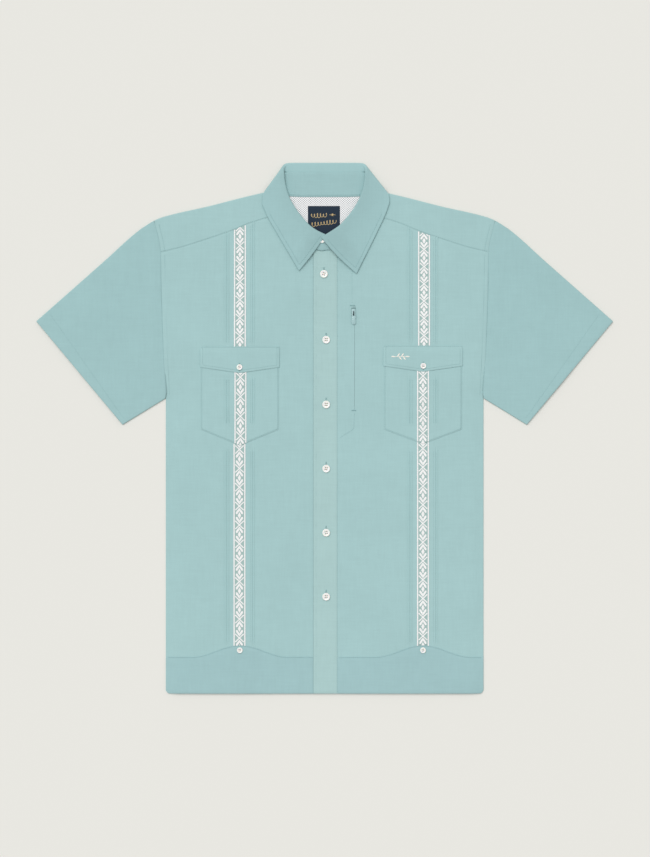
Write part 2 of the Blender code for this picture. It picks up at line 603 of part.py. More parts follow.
def make_slider(material):
    """A plate in the slit, with a bridge along its top for the pull."""
    base = LINING_Z + WALL / 2 + GAP
    roof = SLIDER_TOP_Z + BRIDGE_OPEN
    front, behind = PIVOT_Y - BRIDGE_HALF, PIVOT_Y + BRIDGE_HALF
    leg_front, leg_behind = front + BRIDGE_LEG, behind - BRIDGE_LEG
    half, bridge = SLIDER_W / 2, BRIDGE_W / 2
    foot = SLIDER_TOP_Z - BRIDGE_SUNK
    shape = bmesh.new()
    add_box(shape, (ZIP_X - half, SLIDER_Y0, base), (ZIP_X + half, SLIDER_Y1, SLIDER_TOP_Z))
    mesh_data = bpy.data.meshes.new("zip_slider")
    shape.to_mesh(mesh_data)
    shape.free()
    slider = add_object("zip_slider", mesh_data, material)

    low_corner, inset = roof + BRIDGE_LEG / 2, BRIDGE_LEG * 2 / 3
    side_view = ((front, foot), (leg_front, foot), (leg_front, roof), (leg_behind, roof), (leg_behind, foot),
                 (behind, foot), (behind, low_corner), (behind - inset, roof + BRIDGE_LEG),
                 (front + inset, roof + BRIDGE_LEG), (front, low_corner))
    strap = bmesh.new()
    face = strap.faces.new([strap.verts.new(Vector((ZIP_X - bridge, y, z)) * MM) for y, z in side_view])
    pulled = bmesh.ops.extrude_face_region(strap, geom=[face])
    moved = [item for item in pulled["geom"] if isinstance(item, bmesh.types.BMVert)]
    bmesh.ops.translate(strap, verts=moved, vec=(BRIDGE_W * MM, 0.0, 0.0))
    bmesh.ops.recalc_face_normals(strap, faces=strap.faces)
    bridge_mesh = bpy.data.meshes.new("zip_bridge")
    strap.to_mesh(bridge_mesh)
    strap.free()
    bridge_piece = bpy.data.objects.new("zip_bridge_cutter", bridge_mesh)
    bpy.context.scene.collection.objects.link(bridge_piece)
    bridge_piece.hide_render = True
    bridge_piece.display_type = "WIRE"
    union = slider.modifiers.new("bridge", "BOOLEAN")
    union.operation = "UNION"
    union.object = bridge_piece


def make_pull(material):
    """A tab with a window at its head for the bridge; its origin is on the hinge axis, at the crossbar."""
    half, window = PULL_W / 2, PULL_WINDOW_HALF
    head, tail = PULL_BAR / 2, -PULL_LONG
    arc = [math.pi * step / 6 for step in range(7)]
    tip = [(-half * math.cos(t), tail + half - half * math.sin(t)) for t in arc]
    outer = [(half - 0.8, head), (-half + 0.8, head), (-half, head - 1.6)] + tip + [(half, head - 1.6)]
    inner = [(window, -PULL_BAR / 2), (-window, -PULL_BAR / 2),
             (-window, -PULL_WINDOW_LONG), (window, -PULL_WINDOW_LONG)]
    shape = bmesh.new()
    edges = []
    for loop in (outer, inner):
        verts = [shape.verts.new(Vector((x, y, -PULL_THICK / 2)) * MM) for x, y in loop]
        edges += [shape.edges.new((a, b)) for a, b in zip(verts, verts[1:] + verts[:1])]
    filled = bmesh.ops.triangle_fill(shape, use_beauty=True, use_dissolve=False, edges=edges)
    faces = [item for item in filled["geom"] if isinstance(item, bmesh.types.BMFace)]
    pulled = bmesh.ops.extrude_face_region(shape, geom=faces)
    moved = [item for item in pulled["geom"] if isinstance(item, bmesh.types.BMVert)]
    bmesh.ops.translate(shape, verts=moved, vec=(0.0, 0.0, PULL_THICK * MM))
    bmesh.ops.recalc_face_normals(shape, faces=shape.faces)
    mesh_data = bpy.data.meshes.new("zip_pull")
    shape.to_mesh(mesh_data)
    shape.free()
    pull = add_object("zip_pull", mesh_data, material)
    pull.location = Vector((ZIP_X, PIVOT_Y, PIVOT_Z)) * MM


# ---------------------------------------------------------------- the shirt

def make_shirt():
    cloth_teal = finish("shirt_cloth", TEAL, 0.85)
    lining = finish("lining_mesh", WHITE, 0.8)
    label = finish("label_satin", NAVY, 0.55)
    embroidery = finish("embroidery", WHITE, 0.6)
    pearl = finish("button_pearl", PEARL, 0.3)
    zip_metal = finish("zip_enamel", METAL_TEAL, 0.35, 0.3)

    make_back(cloth_teal)
    make_yoke(cloth_teal)
    make_lining(lining)
    make_label(label)
    make_sleeve("sleeve_right", -1, cloth_teal)
    make_sleeve("sleeve_left", 1, cloth_teal)
    make_collar(cloth_teal)
    make_placket(cloth_teal)
    for row in FRONTS:
        make_front(row, cloth_teal)
        make_pocket(row, cloth_teal)
        make_flap(row, cloth_teal)
        make_hem_band(row, cloth_teal)
        make_bands(row, embroidery)
    make_buttons(pearl)
    make_tape(cloth_teal)
    make_slider(zip_metal)
    make_pull(zip_metal)


for old in list(bpy.data.objects):
    bpy.data.objects.remove(old)
make_shirt()
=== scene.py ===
"""A guayabera shirt laid flat: cloth shells, stitches, embroidery, buttons and a concealed zip.

Sizes are in millimetres and meshes are made in metres. +X is the wearer's left, +Y runs from the hem to the
collar and +Z is up. `out` is the distance from the centre line towards a piece's own side.
"""

import math
from collections import namedtuple

import bmesh
import bpy
import numpy as np
from mathutils import Matrix, Vector


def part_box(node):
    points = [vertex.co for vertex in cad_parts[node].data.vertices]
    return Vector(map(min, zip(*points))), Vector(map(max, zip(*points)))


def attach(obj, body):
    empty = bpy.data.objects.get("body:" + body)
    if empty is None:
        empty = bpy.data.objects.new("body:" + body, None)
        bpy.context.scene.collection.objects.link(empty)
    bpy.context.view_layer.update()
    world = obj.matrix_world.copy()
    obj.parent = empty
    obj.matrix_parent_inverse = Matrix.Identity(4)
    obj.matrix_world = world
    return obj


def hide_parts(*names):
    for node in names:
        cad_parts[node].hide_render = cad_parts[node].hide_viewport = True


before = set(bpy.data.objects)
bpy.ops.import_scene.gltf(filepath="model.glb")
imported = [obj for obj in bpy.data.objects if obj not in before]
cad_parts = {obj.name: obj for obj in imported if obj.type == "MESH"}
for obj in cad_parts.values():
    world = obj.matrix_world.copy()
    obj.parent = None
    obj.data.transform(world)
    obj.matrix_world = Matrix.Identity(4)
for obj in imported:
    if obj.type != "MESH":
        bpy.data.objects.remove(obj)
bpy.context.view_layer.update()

MM = 0.001
RNG = np.random.default_rng(7)

# Cloth, and the stack that it lies in; each height is the middle of a layer
CLOTH_HALF = 0.32  # half its thickness
COLLAR_HALF = 0.5
STEP_UP = 0.66  # from one layer to what is sewn on it
BACK_Z, LINING_Z, FRONT_Z = 0.5, 1.8, 3.1
FOLD_R = (FRONT_Z - BACK_Z) / 2  # radius of the fold at a shoulder or a sleeve's edge
FOLD_INSET = FOLD_R + CLOTH_HALF
FOLD_STEPS = 10
FRONT_RISE = 1.2  # how far the middle of a front stands up
SLEEVE_RISE = 0.8
RIM = 0.3  # share of the cloth's thickness left at its edges
UNDER = 1.6  # how far a seam's lower layer passes under the upper one
DIP = 0.2  # how far it dips there

# Body
HALF_CHEST = 246.2
HEM_Y = -411.4
HEM_ROUND = 5.0  # radius of the hem's corners
BACK_SEAM_Y = 278.0
SIDE_DROP = 20.0  # how much of a panel's side comes down to the back
SIDE_FROM = HALF_CHEST - SIDE_DROP
SIDE_SINK = FRONT_Z - BACK_Z - 2 * CLOTH_HALF
PLACKET_RIGHT, PLACKET_LEFT, PLACKET_TOP_Y = -17.5, 20.6, 276.0
FRONT_SQUARE_Y = 250.0  # the grids of the fronts and the placket are level below this
FRONT_TURNING, FRONT_TOP_Y = 10.0, 330.0  # of a front as cut

# Seam lines of one side, as (position, value) rows
ARMHOLE_OUT = ((46.2, 246.2), (121.0, 249.9), (214.0, 253.0), (272.3, 254.0), (321.9, 264.0))  # (y, out)
SHOULDER_Y = ((84.8, 367.5), (132.0, 356.2), (177.0, 344.6), (252.8, 326.6), (264.0, 321.9))  # (out, y)
YOKE_SEAM_Y = ((78.6, 329.5), (91.0, 325.3), (117.0, 317.0), (142.0, 306.6), (186.0, 291.3),
               (224.6, 279.2), (254.0, 272.3))  # (out, y)
FRONT_NECK_Y = ((0.0, 274.5), (15.0, 276.1), (33.6, 283.8), (52.2, 297.8), (69.3, 316.4), (78.6, 329.5))
BACK_NECK_Y = ((0.0, 357.9), (55.3, 358.2), (72.4, 361.3), (84.8, 367.5))  # (out, y)
NECK_SIDE_OUT = ((329.5, 78.6), (347.4, 81.7), (367.5, 84.8))  # (y, out)

# Sleeve: the top and bottom edges, from the armhole to the cuff, and how far it swells between them
SleeveRow = namedtuple("SleeveRow", "top_out top_y under_out under_y armhole_share swell")
SLEEVE = (
    SleeveRow(264.0, 321.9, 246.2, 46.2, 1.0, 0.0),
    SleeveRow(286.3, 307.4, 258.2, 38.9, 0.75, 0.7),
    SleeveRow(339.8, 260.1, 276.5, 27.7, 0.35, 1.0),
    SleeveRow(393.2, 212.9, 294.7, 16.5, 0.1, 0.7),
    SleeveRow(446.7, 165.7, 312.9, 5.3, 0.0, 0.2),
)
SLEEVE_LONG = 243.0
SLEEVE_CUT = (520.0, 245.0)
ARMHOLE_GAP = 0.35
ARMHOLE_STITCH = 6.0
CUFF_STITCH = 24.0

# One front each: its side of the centre line, centre edge, embroidered band, pocket and flap
FrontRow = namedtuple("FrontRow", "name side centre_edge band_out pocket_point_y flap_top_y flap_drop_y")
FRONTS = (
    FrontRow("right", -1, -11.0, 131.5, -27.0, 126.6, 94.2),
    FrontRow("left", 1, 11.4, 152.3, -24.5, 128.0, 96.2),
)
TUCKS_OUT = (19.0, 22.8)  # from the middle of the band
# A tuck's height beside its fold, and where on the fronts and pockets it shows, as (position, value) rows
TUCK_PROFILE = ((-2.6, 0.0), (-1.0, 0.35), (-0.3, 0.6), (0.0, 0.58), (0.35, 0.0), (0.7, -0.2), (1.2, 0.0))
TUCK_SHOWS = ((-335.0, 0.0), (-331.0, 1.0), (-34.0, 1.0), (-30.0, 0.0), (131.0, 0.0), (135.0, 1.0))
POCKET_TUCK_SHOWS = ((4.0, 0.0), (8.0, 1.0), (78.0, 1.0), (82.0, 0.0))
FRONT_TUCK_ROWS = ((-331.0, -32.0), (133.0, 400.0))  # stitches beside the tucks, from y to y
POCKET_TUCK_ROWS = ((8.0, 80.0),)
POCKET_HALF, POCKET_TOP_Y, POCKET_CORNER_Y = 60.6, 112.0, -2.0
FLAP_HALF, FLAP_POINT, FLAP_SEWN = 61.5, 8.8, 10.0
POCKET_PUFF, FLAP_PUFF = 0.45, 0.5
SPRIG, SPRIG_HALF = (117.8, 110.8), 9.5
SPRIG_LEAVES = ((-5.4, 52.0), (0.8, 52.0), (-2.6, -52.0), (3.6, -52.0),
                (-SPRIG_HALF + 1.0, 180.0), (SPRIG_HALF - 2.0, 0.0))  # (place along the stem, angle)
HEM_BAND_Y, HEM_PEAK, HEM_PEAK_HALF = -354.0, 18.0, 75.0

# Lining and label in the neck
LINING_HALF, LINING_BOTTOM_Y = 81.0, 258.0
LABEL_RIGHT, LABEL_LEFT, LABEL_BOTTOM_Y, LABEL_TOP_Y = -26.0, 23.6, 300.3, 344.3
LOOP_ROWS = ((329.2, -20.0, 5.0, 3.6, 0.6), (315.2, -19.0, 19.0, 3.4, 5.0))  # y, both ends, height, rise
LOOP_LONG = 4.6
STAR_X, STAR_Y, STAR_LONG, STAR_SHORT = 12.1, 330.6, 5.2, 2.3

YOKE_LONG, LINING_LONG = 190.0, 110.0  # as cut

# Collar: one row a station, from the centre back round to the centre front. `turn` is how far the fall has
# come round the stand, from 0 (beneath it) to 180 (on top of it); `shut` is 1 where the ends overlap.
COLLAR_FIELDS = ("turn neck_out neck_y roll_out roll_y right_out right_y left_out left_y "
                 "neck_z roll_z roll_r edge_z shut").split()
COLLAR = (
    (0, 0.0, 358.3, 0.0, 410.8, 0.0, 369.5, 0.0, 369.5, 3.2, 3.2, 1.3, 0.6, 0.0),
    (0, 31.0, 358.3, 29.0, 410.8, 32.0, 369.5, 32.0, 369.5, 3.2, 3.2, 1.3, 0.6, 0.0),
    (0, 60.0, 359.6, 49.0, 410.8, 62.0, 370.0, 62.0, 370.0, 3.2, 3.2, 1.3, 0.6, 0.0),
    (45, 75.0, 363.5, 57.0, 409.8, 82.0, 371.8, 83.0, 372.4, 3.4, 3.2, 1.5, 1.8, 0.0),
    (90, 82.5, 368.6, 60.6, 405.8, 91.2, 368.6, 93.0, 369.4, 4.6, 4.3, 1.8, 5.0, 0.0),
    (135, 84.2, 366.0, 62.4, 399.5, 95.9, 359.6, 99.4, 361.0, 4.8, 6.0, 1.7, 4.9, 0.0),
    (180, 83.6, 358.0, 62.6, 391.0, 96.6, 348.0, 100.4, 351.5, 4.8, 6.0, 1.7, 4.5, 0.0),
    (180, 82.0, 350.0, 61.2, 379.0, 93.5, 338.8, 97.8, 341.0, 4.6, 5.6, 1.8, 4.5, 0.0),
    (180, 79.5, 337.0, 55.9, 360.0, 86.2, 323.0, 91.8, 325.8, 4.5, 5.0, 1.9, 4.5, 0.0),
    (180, 73.5, 322.0, 47.2, 343.2, 77.5, 308.0, 83.6, 308.4, 4.5, 5.0, 1.9, 4.5, 0.0),
    (180, 60.0, 305.5, 35.3, 326.8, 66.5, 289.2, 74.2, 289.0, 4.5, 5.0, 1.9, 4.5, 0.0),
    (180, 42.0, 290.0, 23.0, 313.8, 56.0, 271.6, 64.6, 269.6, 4.5, 5.0, 2.2, 4.5, 0.0),
    (180, 20.0, 278.6, 12.0, 306.0, 46.4, 255.0, 56.4, 253.2, 4.5, 5.0, 2.6, 4.5, 0.8),
    (180, 3.0, 275.4, 3.4, 301.0, 39.8, 243.5, 49.6, 239.3, 4.5, 5.0, 2.6, 4.5, 1.0),
)
STAND_SHARE = 0.72  # of the way from the neckline to the roll
COLLAR_SEAM, COLLAR_SEAM_AT_FOLD = -1.6, 2.0  # from the stand's edge to the fall's
STAND_END_OUT, STAND_END_Y, STAND_END_TOP_Y = -15.0, 276.9, 297.0
CLOSING_LIFT = 1.5  # how far the left end of the collar lies above the right one
LEAF_BOW = {"right": 1.2, "left": 2.2}  # how far the front edge of a leaf bows
EDGE_LIFT = 1.2  # how far the leaves' edges stand off the fronts
LEAF_END_FIELDS = "neck_out neck_y roll_out roll_y roll_r".split()
LEAF_END = {"right": (-1.5, 274.9, -1.0, 299.8, 1.7), "left": (-4.6, 274.6, -4.4, 295.8, 2.1)}
LEAF_STITCH, LEAF_STITCH_FROM = 6.0, 58  # in from the edge, and the first station that has it
FALL_CUT, STAND_CUT = (470.0, 80.0), (430.0, 46.0)
STATIONS = 110

# Buttons, with their places on the placket, flaps and hem bands
BUTTON_D, SMALL_BUTTON_D, COLLAR_BUTTON_D = 12.0, 9.0, 11.4
BUTTON_THICK, BUTTON_HOLE_D, BUTTON_HOLE_OUT = 1.8, 1.8, 2.1
BUTTON_X = 2.3
TOP_BUTTON = (-1.2, 238.9)
BUTTON_YS = (137.0, 36.6, -62.8, -162.0, -261.2)
COLLAR_BUTTON = (-4.0, 292.4)
FLAP_BUTTON_IN, FLAP_BUTTON_UP = 0.4, 9.0
HEM_BUTTON_UP = 8.0

# Concealed zip, its slider and its pull
ZIP_X, ZIP_TOP_Y, ZIP_BOTTOM_Y, ZIP_SLIT = 44.9, 186.0, 23.4, 0.16
SLIT_BOTTOM_Y = 29.0  # where the bar tack closes the slit
SLIT_X = 46.3
SLIDER_HOLE, SLIDER_HOLE_Y = 6.8, 173.2
TAPE_HALF, TAPE_PAST, TAPE_Z = 11.0, 9.0, 1.55
COIL_HALF, COIL_PITCH = 1.9, 1.1
SLIDER_W, SLIDER_Y0, SLIDER_Y1, SLIDER_TOP_Z = 6.4, 174.3, 184.6, 3.9
PIVOT_Y, PIVOT_Z = 178.1, 4.65
BRIDGE_W, BRIDGE_HALF, BRIDGE_LEG, BRIDGE_OPEN = 1.4, 3.4, 0.9, 1.5
PULL_W, PULL_LONG, PULL_THICK, PULL_BAR = 6.2, 17.8, 0.9, 0.8
PULL_WINDOW_HALF, PULL_WINDOW_LONG = 1.1, 4.2
POUCH = ((46.0, 23.0), (45.6, 12.0), (45.4, 1.7), (43.1, -2.9), (22.9, -15.3))  # (x, y) of its stitching
BAR_TACKS = ((39.4, 190.0, 46.4, 190.0), (42.0, 27.4, 48.6, 27.4))  # both ends, (x, y, x, y)
BAR_TACK_HALF = 0.9

# Stitches, and threads of the embroidery
STITCH, STITCH_PITCH, STITCH_WIDE, STITCH_HIGH = 2.4, 3.1, 0.55, 0.22
STITCH_Z = CLOTH_HALF + 0.08  # the middle of a stitch above the middle of its cloth
TUCK_STITCH = (0.4, 0.16, 3.4, 2.5)  # finer rows: width, height, pitch and length of a stitch
PLACKET_STITCH = (0.36, 0.12, 3.4, 2.4)
CUFF_ROW = (0.4, 0.14, 3.3, 2.4)
FLAP_ROW = (0.45, 0.16)
# How far rows of stitches are in from an edge
YOKE_STITCH, TUCK_STITCH_IN, HEM_STITCH, POCKET_STITCH, FLAP_STITCH = 1.4, 2.4, 1.5, 1.7, 4.0
THREAD_WIDE, THREAD_HIGH = 0.84, 0.09
MOTIF_LONG = 28.8  # one repeat of the embroidered motif, as it is drawn here
Arm = namedtuple("Arm", "x0 y0 x1 y1 wide")
ARMS = (
    Arm(-6.4, 6.1, 6.4, -6.1, 2.0),
    Arm(6.4, 6.1, -6.4, -6.1, 2.0),
)
CHEVRON_TIP, CHEVRON_CROTCH, CHEVRON_END = -2.6, -7.2, -12.3  # from the middle of the cross
CHEVRON_WIDE, CHEVRON_SPREAD, CHEVRON_INNER = 5.4, 0.8, 0.66  # half width, and how fast its sides spread
DIAMOND_Y, DIAMOND_HALF_W, DIAMOND_HALF_H = -14.4, 2.7, 4.9
BORDER_OUT, BORDER_WIDE = 8.3, 2.1
RIBBON_HALF = 9.4
REPEATS = {  # length of one repeat, y of the middle of one cross, how far out the ribbon strays
    ("right", "upper"): (28.0, 282.9, -0.2),
    ("right", "pocket"): (30.3, 78.8, -1.0),
    ("right", "lower"): (29.2, -62.5, 0.5),
    ("left", "upper"): (26.7, 276.9, 1.7),
    ("left", "pocket"): (29.5, 80.7, 0.0),
    ("left", "lower"): (29.05, -60.7, 0.0),
}

# Soft creases of the upper cloth: ends, half width and height
Crease = namedtuple("Crease", "x0 y0 x1 y1 half high")
CREASES = (
    Crease(-256.0, 300.0, -249.0, 60.0, 7.0, -0.7),
    Crease(258.0, 300.0, 250.0, 60.0, 7.0, -0.7),
    Crease(-262.0, 120.0, -330.0, 150.0, 11.0, 0.5),
    Crease(-258.0, 80.0, -312.0, 66.0, 9.0, -0.45),
    Crease(-280.0, 268.0, -352.0, 214.0, 16.0, 0.5),
    Crease(262.0, 132.0, 322.0, 168.0, 11.0, 0.45),
    Crease(256.0, 70.0, 318.0, 48.0, 10.0, -0.45),
    Crease(276.0, 250.0, 372.0, 196.0, 17.0, 0.55),
    Crease(-238.0, 30.0, -206.0, -70.0, 13.0, 0.55),
    Crease(238.0, 24.0, 214.0, -90.0, 14.0, 0.5),
    Crease(-236.0, -120.0, -196.0, -240.0, 18.0, -0.55),
    Crease(232.0, -170.0, 190.0, -300.0, 17.0, -0.5),
    Crease(-116.0, -243.0, -76.0, -243.0, 6.0, 0.3),
    Crease(-96.0, 60.0, -36.0, -40.0, 16.0, 0.5),
    Crease(60.0, -20.0, 100.0, -150.0, 18.0, 0.5),
    Crease(-90.0, -290.0, -30.0, -330.0, 14.0, -0.4),
    Crease(50.0, -250.0, 110.0, -320.0, 16.0, -0.45),
    Crease(-225.0, 240.0, -170.0, 190.0, 15.0, -0.45),
    Crease(215.0, 235.0, 190.0, 170.0, 14.0, -0.4),
)

# Colours, as linear RGB
TEAL = (0.380, 0.580, 0.582)
# Copies of the one teal cloth: the sleeves, collar and hem are painted darker as shade, and the placket
# lighter as painted light
TEAL_SLEEVE_PAINTED_SHADE = (0.354, 0.551, 0.557)
TEAL_COLLAR_PAINTED_SHADE = (0.345, 0.538, 0.545)
TEAL_PLACKET_PAINTED_LIGHT = (0.410, 0.598, 0.588)
TEAL_HEM_PAINTED_SHADE = (0.354, 0.545, 0.557)
TEAL_THREAD = (0.310, 0.500, 0.505)
# Near-black teal, painted as the shadow line under the placket's right edge
TEAL_PAINTED_SHADOW = (0.13, 0.25, 0.26)
RIBBON = (0.385, 0.540, 0.515)
WHITE = (0.985, 0.985, 0.97)
CREAM = (0.95, 0.93, 0.86)
LINEN = (0.95, 0.955, 0.96)
BEIGE = (0.60, 0.46, 0.38)
NAVY = (0.016, 0.030, 0.052)
GOLD = (0.66, 0.50, 0.25)
PEARL = (0.93, 0.915, 0.88)
ENAMEL_TEAL = (0.36, 0.55, 0.56)
# Near-black for the slider's bridge: real metal, painted dark as the shade in the gaps beside it
METAL_PAINTED_SHADE = (0.02, 0.035, 0.04)
# Grey of the lining's holes: painted shade seen through them
MESH_HOLE_PAINTED_SHADE = (0.34, 0.35, 0.36)
FLOOR = (0.815, 0.807, 0.760)

# Painted shade on the collar's fall: its colour darkens with height, most at the roll
ROLL_PAINTED_SHADE, ROLL_PAINTED_SHADE_Z = 130.0, 0.0078  # the collar's fall darkens by so much a metre above so many metres

WAVE_SCALE = 0.314  # a wave texture of this scale has one band a metre

# Studio: the camera looks straight down from so high, and the floor reaches so many metres
VIEW_CENTRE, CAMERA_HEIGHT, LENS, FLOOR_REACH = (0.5, -0.6), 3693.0, 100.0, 60.0
SKY_STRENGTH, SUN_STRENGTH, SUN_ANGLE = 0.55, 1.56, 45.0
SUN_FROM = (-0.30, 0.55, 1.25)


# ---------------------------------------------------------------- numbers

def curve(rows, at):
    """Smooth values at positions, through (position, value) rows, never past a row's own value."""
    x, y = np.array(rows, float).T
    rise = np.diff(y) / np.diff(x)
    slope = np.concatenate(([rise[0]], np.zeros(len(x) - 2), [rise[-1]]))
    same = rise[:-1] * rise[1:] > 0.0
    slope[1:-1][same] = 2.0 * (rise[:-1] * rise[1:])[same] / (rise[:-1] + rise[1:])[same]
    at = np.clip(at, x[0], x[-1])
    i = np.clip(np.searchsorted(x, at, side="right") - 1, 0, len(x) - 2)
    wide = (x[1:] - x[:-1])[i]
    t = (at - x[i]) / wide
    blend = t * t * (3.0 - 2.0 * t)
    tangents = slope[i] * (t - 2.0 * t * t + t ** 3) + slope[i + 1] * (t ** 3 - t * t)
    return y[i] * (1.0 - blend) + y[i + 1] * blend + tangents * wide


def lines(rows, at):
    """Values at positions, by straight lines between (position, value) rows."""
    x, y = np.array(rows, float).T
    return np.interp(at, x, y)


def ease(share):
    """0 to 1 with level ends."""
    share = np.clip(share, 0.0, 1.0)
    return share * share * (3.0 - 2.0 * share)


def refined(breaks, step, edge=0.4):
    """Positions through the breaks, at most a step apart, with a narrow strip at each end."""
    breaks = sorted(set(np.round(list(breaks), 4)) | {min(breaks) + edge, max(breaks) - edge})
    places = [breaks[0]]
    for low, high in zip(breaks, breaks[1:]):
        count = max(1, math.ceil((high - low) / step))
        places += list(low + (high - low) * np.arange(1, count + 1) / count)
    return np.array(places)


def unit(vectors):
    return vectors / np.maximum(np.linalg.norm(vectors, axis=-1, keepdims=True), 1e-9)


def stacked(x, y, z):
    return np.stack(np.broadcast_arrays(x, y, z), axis=-1).astype(float)


def raised(points, by):
    return points + np.array((0.0, 0.0, by))


def make_waves(count, shortest, longest):
    """Slow waves in every direction, as (x rate, y rate, phase, height) rows."""
    length = RNG.uniform(shortest, longest, count)
    turn = RNG.uniform(0.0, math.pi, count)
    rate = 2.0 * math.pi / length
    return np.stack([rate * np.cos(turn), rate * np.sin(turn), RNG.uniform(0, 2 * math.pi, count),
                     length * 0.0011], axis=1)


WAVES = np.concatenate([make_waves(9, 110.0, 260.0), make_waves(8, 36.0, 80.0)])


def waves(x, y):
    total = np.zeros(np.broadcast(x, y).shape)
    for rate_x, rate_y, phase, high in WAVES:
        total = total + high * np.sin(rate_x * x + rate_y * y + phase)
    return total


def relief(x, y):
    """The unevenness of the upper cloth; it is level around the collar."""
    total = waves(x, y)
    for crease in CREASES:
        long_x, long_y = crease.x1 - crease.x0, crease.y1 - crease.y0
        long = math.hypot(long_x, long_y)
        share = ((x - crease.x0) * long_x + (y - crease.y0) * long_y) / long ** 2
        aside = np.abs((x - crease.x0) * long_y - (y - crease.y0) * long_x) / long
        ends = ease(share / 0.35) * ease((1.0 - share) / 0.35)
        total = total + crease.high * ends * np.exp(-(aside / crease.half) ** 2)
    return total * ease((np.hypot(x, y - 320.0) - 105.0) / 60.0)


# ---------------------------------------------------------------- meshes

def shell(points, half, ring=False, keep=None, flat=False):
    """A thin closed wall with the points' grid at its middle, thinner at its edges. A ring's columns join up.
    keep leaves cells out. A flat wall is measured straight up, and any other one along its own normals."""
    across = np.roll(points, -1, 1) - np.roll(points, 1, 1) if ring else np.gradient(points, axis=1)
    normals = unit(np.cross(across, np.gradient(points, axis=0)))
    if flat and normals[..., 2].mean() < 0.0:
        return shell(points[:, ::-1], half, ring, None if keep is None else keep[:, ::-1], flat)
    if flat:
        normals = np.broadcast_to((0.0, 0.0, 1.0), points.shape)
    rows, cols = points.shape[:2]
    thick = np.full((rows, cols, 1), half)
    thick[[0, -1]] *= RIM
    if not ring:
        thick[:, [0, -1]] *= RIM
    verts = np.concatenate([(points + sign * normals * thick).reshape(-1, 3) for sign in (1, -1)])
    index = np.arange(rows * cols).reshape(rows, cols)
    after = np.roll(index, -1, 1) if ring else index[:, 1:]
    here = index if ring else index[:, :-1]
    cells = np.stack([here[:-1], after[:-1], after[1:], here[1:]], axis=-1)
    cells = cells[keep] if keep is not None else cells.reshape(-1, 4)
    starts, ends = cells.ravel(), np.roll(cells, -1, 1).ravel()
    size = rows * cols
    alone = ~np.isin(starts * size + ends, ends * size + starts)
    a, b = starts[alone], ends[alone]
    rims = np.stack([b, a, a + size, b + size], axis=1)
    faces = np.concatenate([cells, cells[:, ::-1] + size, rims])
    used, faces = np.unique(faces, return_inverse=True)
    return verts[used], faces.reshape(-1, 4)


def strands(starts, ends, wide=THREAD_WIDE, high=THREAD_HIGH):
    """Short plump threads from one row of points to another, each narrow and sunk at both ends."""
    along = unit(ends - starts)
    aside = unit(np.cross((0.0, 0.0, 1.0), along)) * wide / 2
    up = np.broadcast_to((0.0, 0.0, high), starts.shape)
    rings = []
    for share, fat, lift in ((0.0, 0.5, -0.3), (0.18, 0.95, 0.25), (0.82, 0.95, 0.25), (1.0, 0.5, -0.3)):
        middle = starts + (ends - starts) * share + up * lift
        rings.append(np.stack([middle + way * fat for way in (-aside, up, aside, -up)], 1))
    verts = np.stack(rings, axis=1)
    base = np.arange(len(starts))[:, None] * 16
    pattern = [(3, 2, 1, 0), (12, 13, 14, 15)]
    for ring in (0, 4, 8):
        for i in range(4):
            j = (i + 1) % 4
            pattern.append((ring + i, ring + j, ring + 4 + j, ring + 4 + i))
    faces = (base[:, :, None] + np.array(pattern)[None]).reshape(-1, 4)
    return verts.reshape(-1, 3), faces


def tube(path, radius, sides=8):
    """A round tube along a path, closed at its ends."""
    along = unit(np.gradient(path, axis=0))
    aside = unit(np.cross((0.0, 0.0, 1.0), along))
    up = np.cross(along, aside)
    turns = 2.0 * math.pi * np.arange(sides) / sides
    rings = path[:, None] + radius * (aside[:, None] * np.cos(turns)[None, :, None]
                                      + up[:, None] * np.sin(turns)[None, :, None])
    index = np.arange(len(path) * sides).reshape(len(path), sides)
    after = np.roll(index, -1, 1)
    faces = np.stack([index[:-1], after[:-1], after[1:], index[1:]], axis=-1).reshape(-1, 4)
    caps = []
    for ring, order in ((index[0], -1), (index[-1], 1)):
        ring = ring[::order]
        caps += [(ring[0], ring[i], ring[i + 1], ring[i + 2]) for i in range(1, sides - 2, 2)]
    return rings.reshape(-1, 3), np.concatenate([faces, np.array(caps)])


def dashes(path, pitch=STITCH_PITCH, long=STITCH):
    """The ends of the stitches along a path of points."""
    path = np.asarray(path, float)
    run = np.concatenate([[0.0], np.cumsum(np.linalg.norm(np.diff(path, axis=0), axis=1))])
    starts = np.arange(0.0, run[-1] - long, pitch)
    return [np.stack([np.interp(at, run, axis) for axis in path.T], axis=1) for at in (starts, starts + long)]


def stitched(paths, wide=STITCH_WIDE, high=STITCH_HIGH, pitch=STITCH_PITCH, long=STITCH):
    """The stitches along several paths, as one part of a mesh."""
    ends = [dashes(path, pitch, long) for path in paths]
    return strands(np.concatenate([a for a, _ in ends]), np.concatenate([b for _, b in ends]), wide, high)


def linked(name, data):
    """A new object in the scene."""
    made = bpy.data.objects.new(name, data)
    bpy.context.scene.collection.objects.link(made)
    return made


def piece(name, parts, materials):
    """One object from (material number, (verts, faces)) parts in millimetres."""
    verts, faces, kinds, base = [], [], [], 0
    for kind, (part_verts, part_faces) in parts:
        verts.append(part_verts)
        faces.append(part_faces + base)
        kinds.append(np.full(len(part_faces), kind))
        base += len(part_verts)
    mesh_data = bpy.data.meshes.new(name)
    mesh_data.from_pydata((np.concatenate(verts) * MM).tolist(), [], np.concatenate(faces).tolist())
    for material in materials:
        mesh_data.materials.append(material)
    mesh_data.polygons.foreach_set("material_index", np.concatenate(kinds).astype(np.int32))
    mesh_data.shade_smooth()
    mesh_data.validate()
    return linked(name, mesh_data)


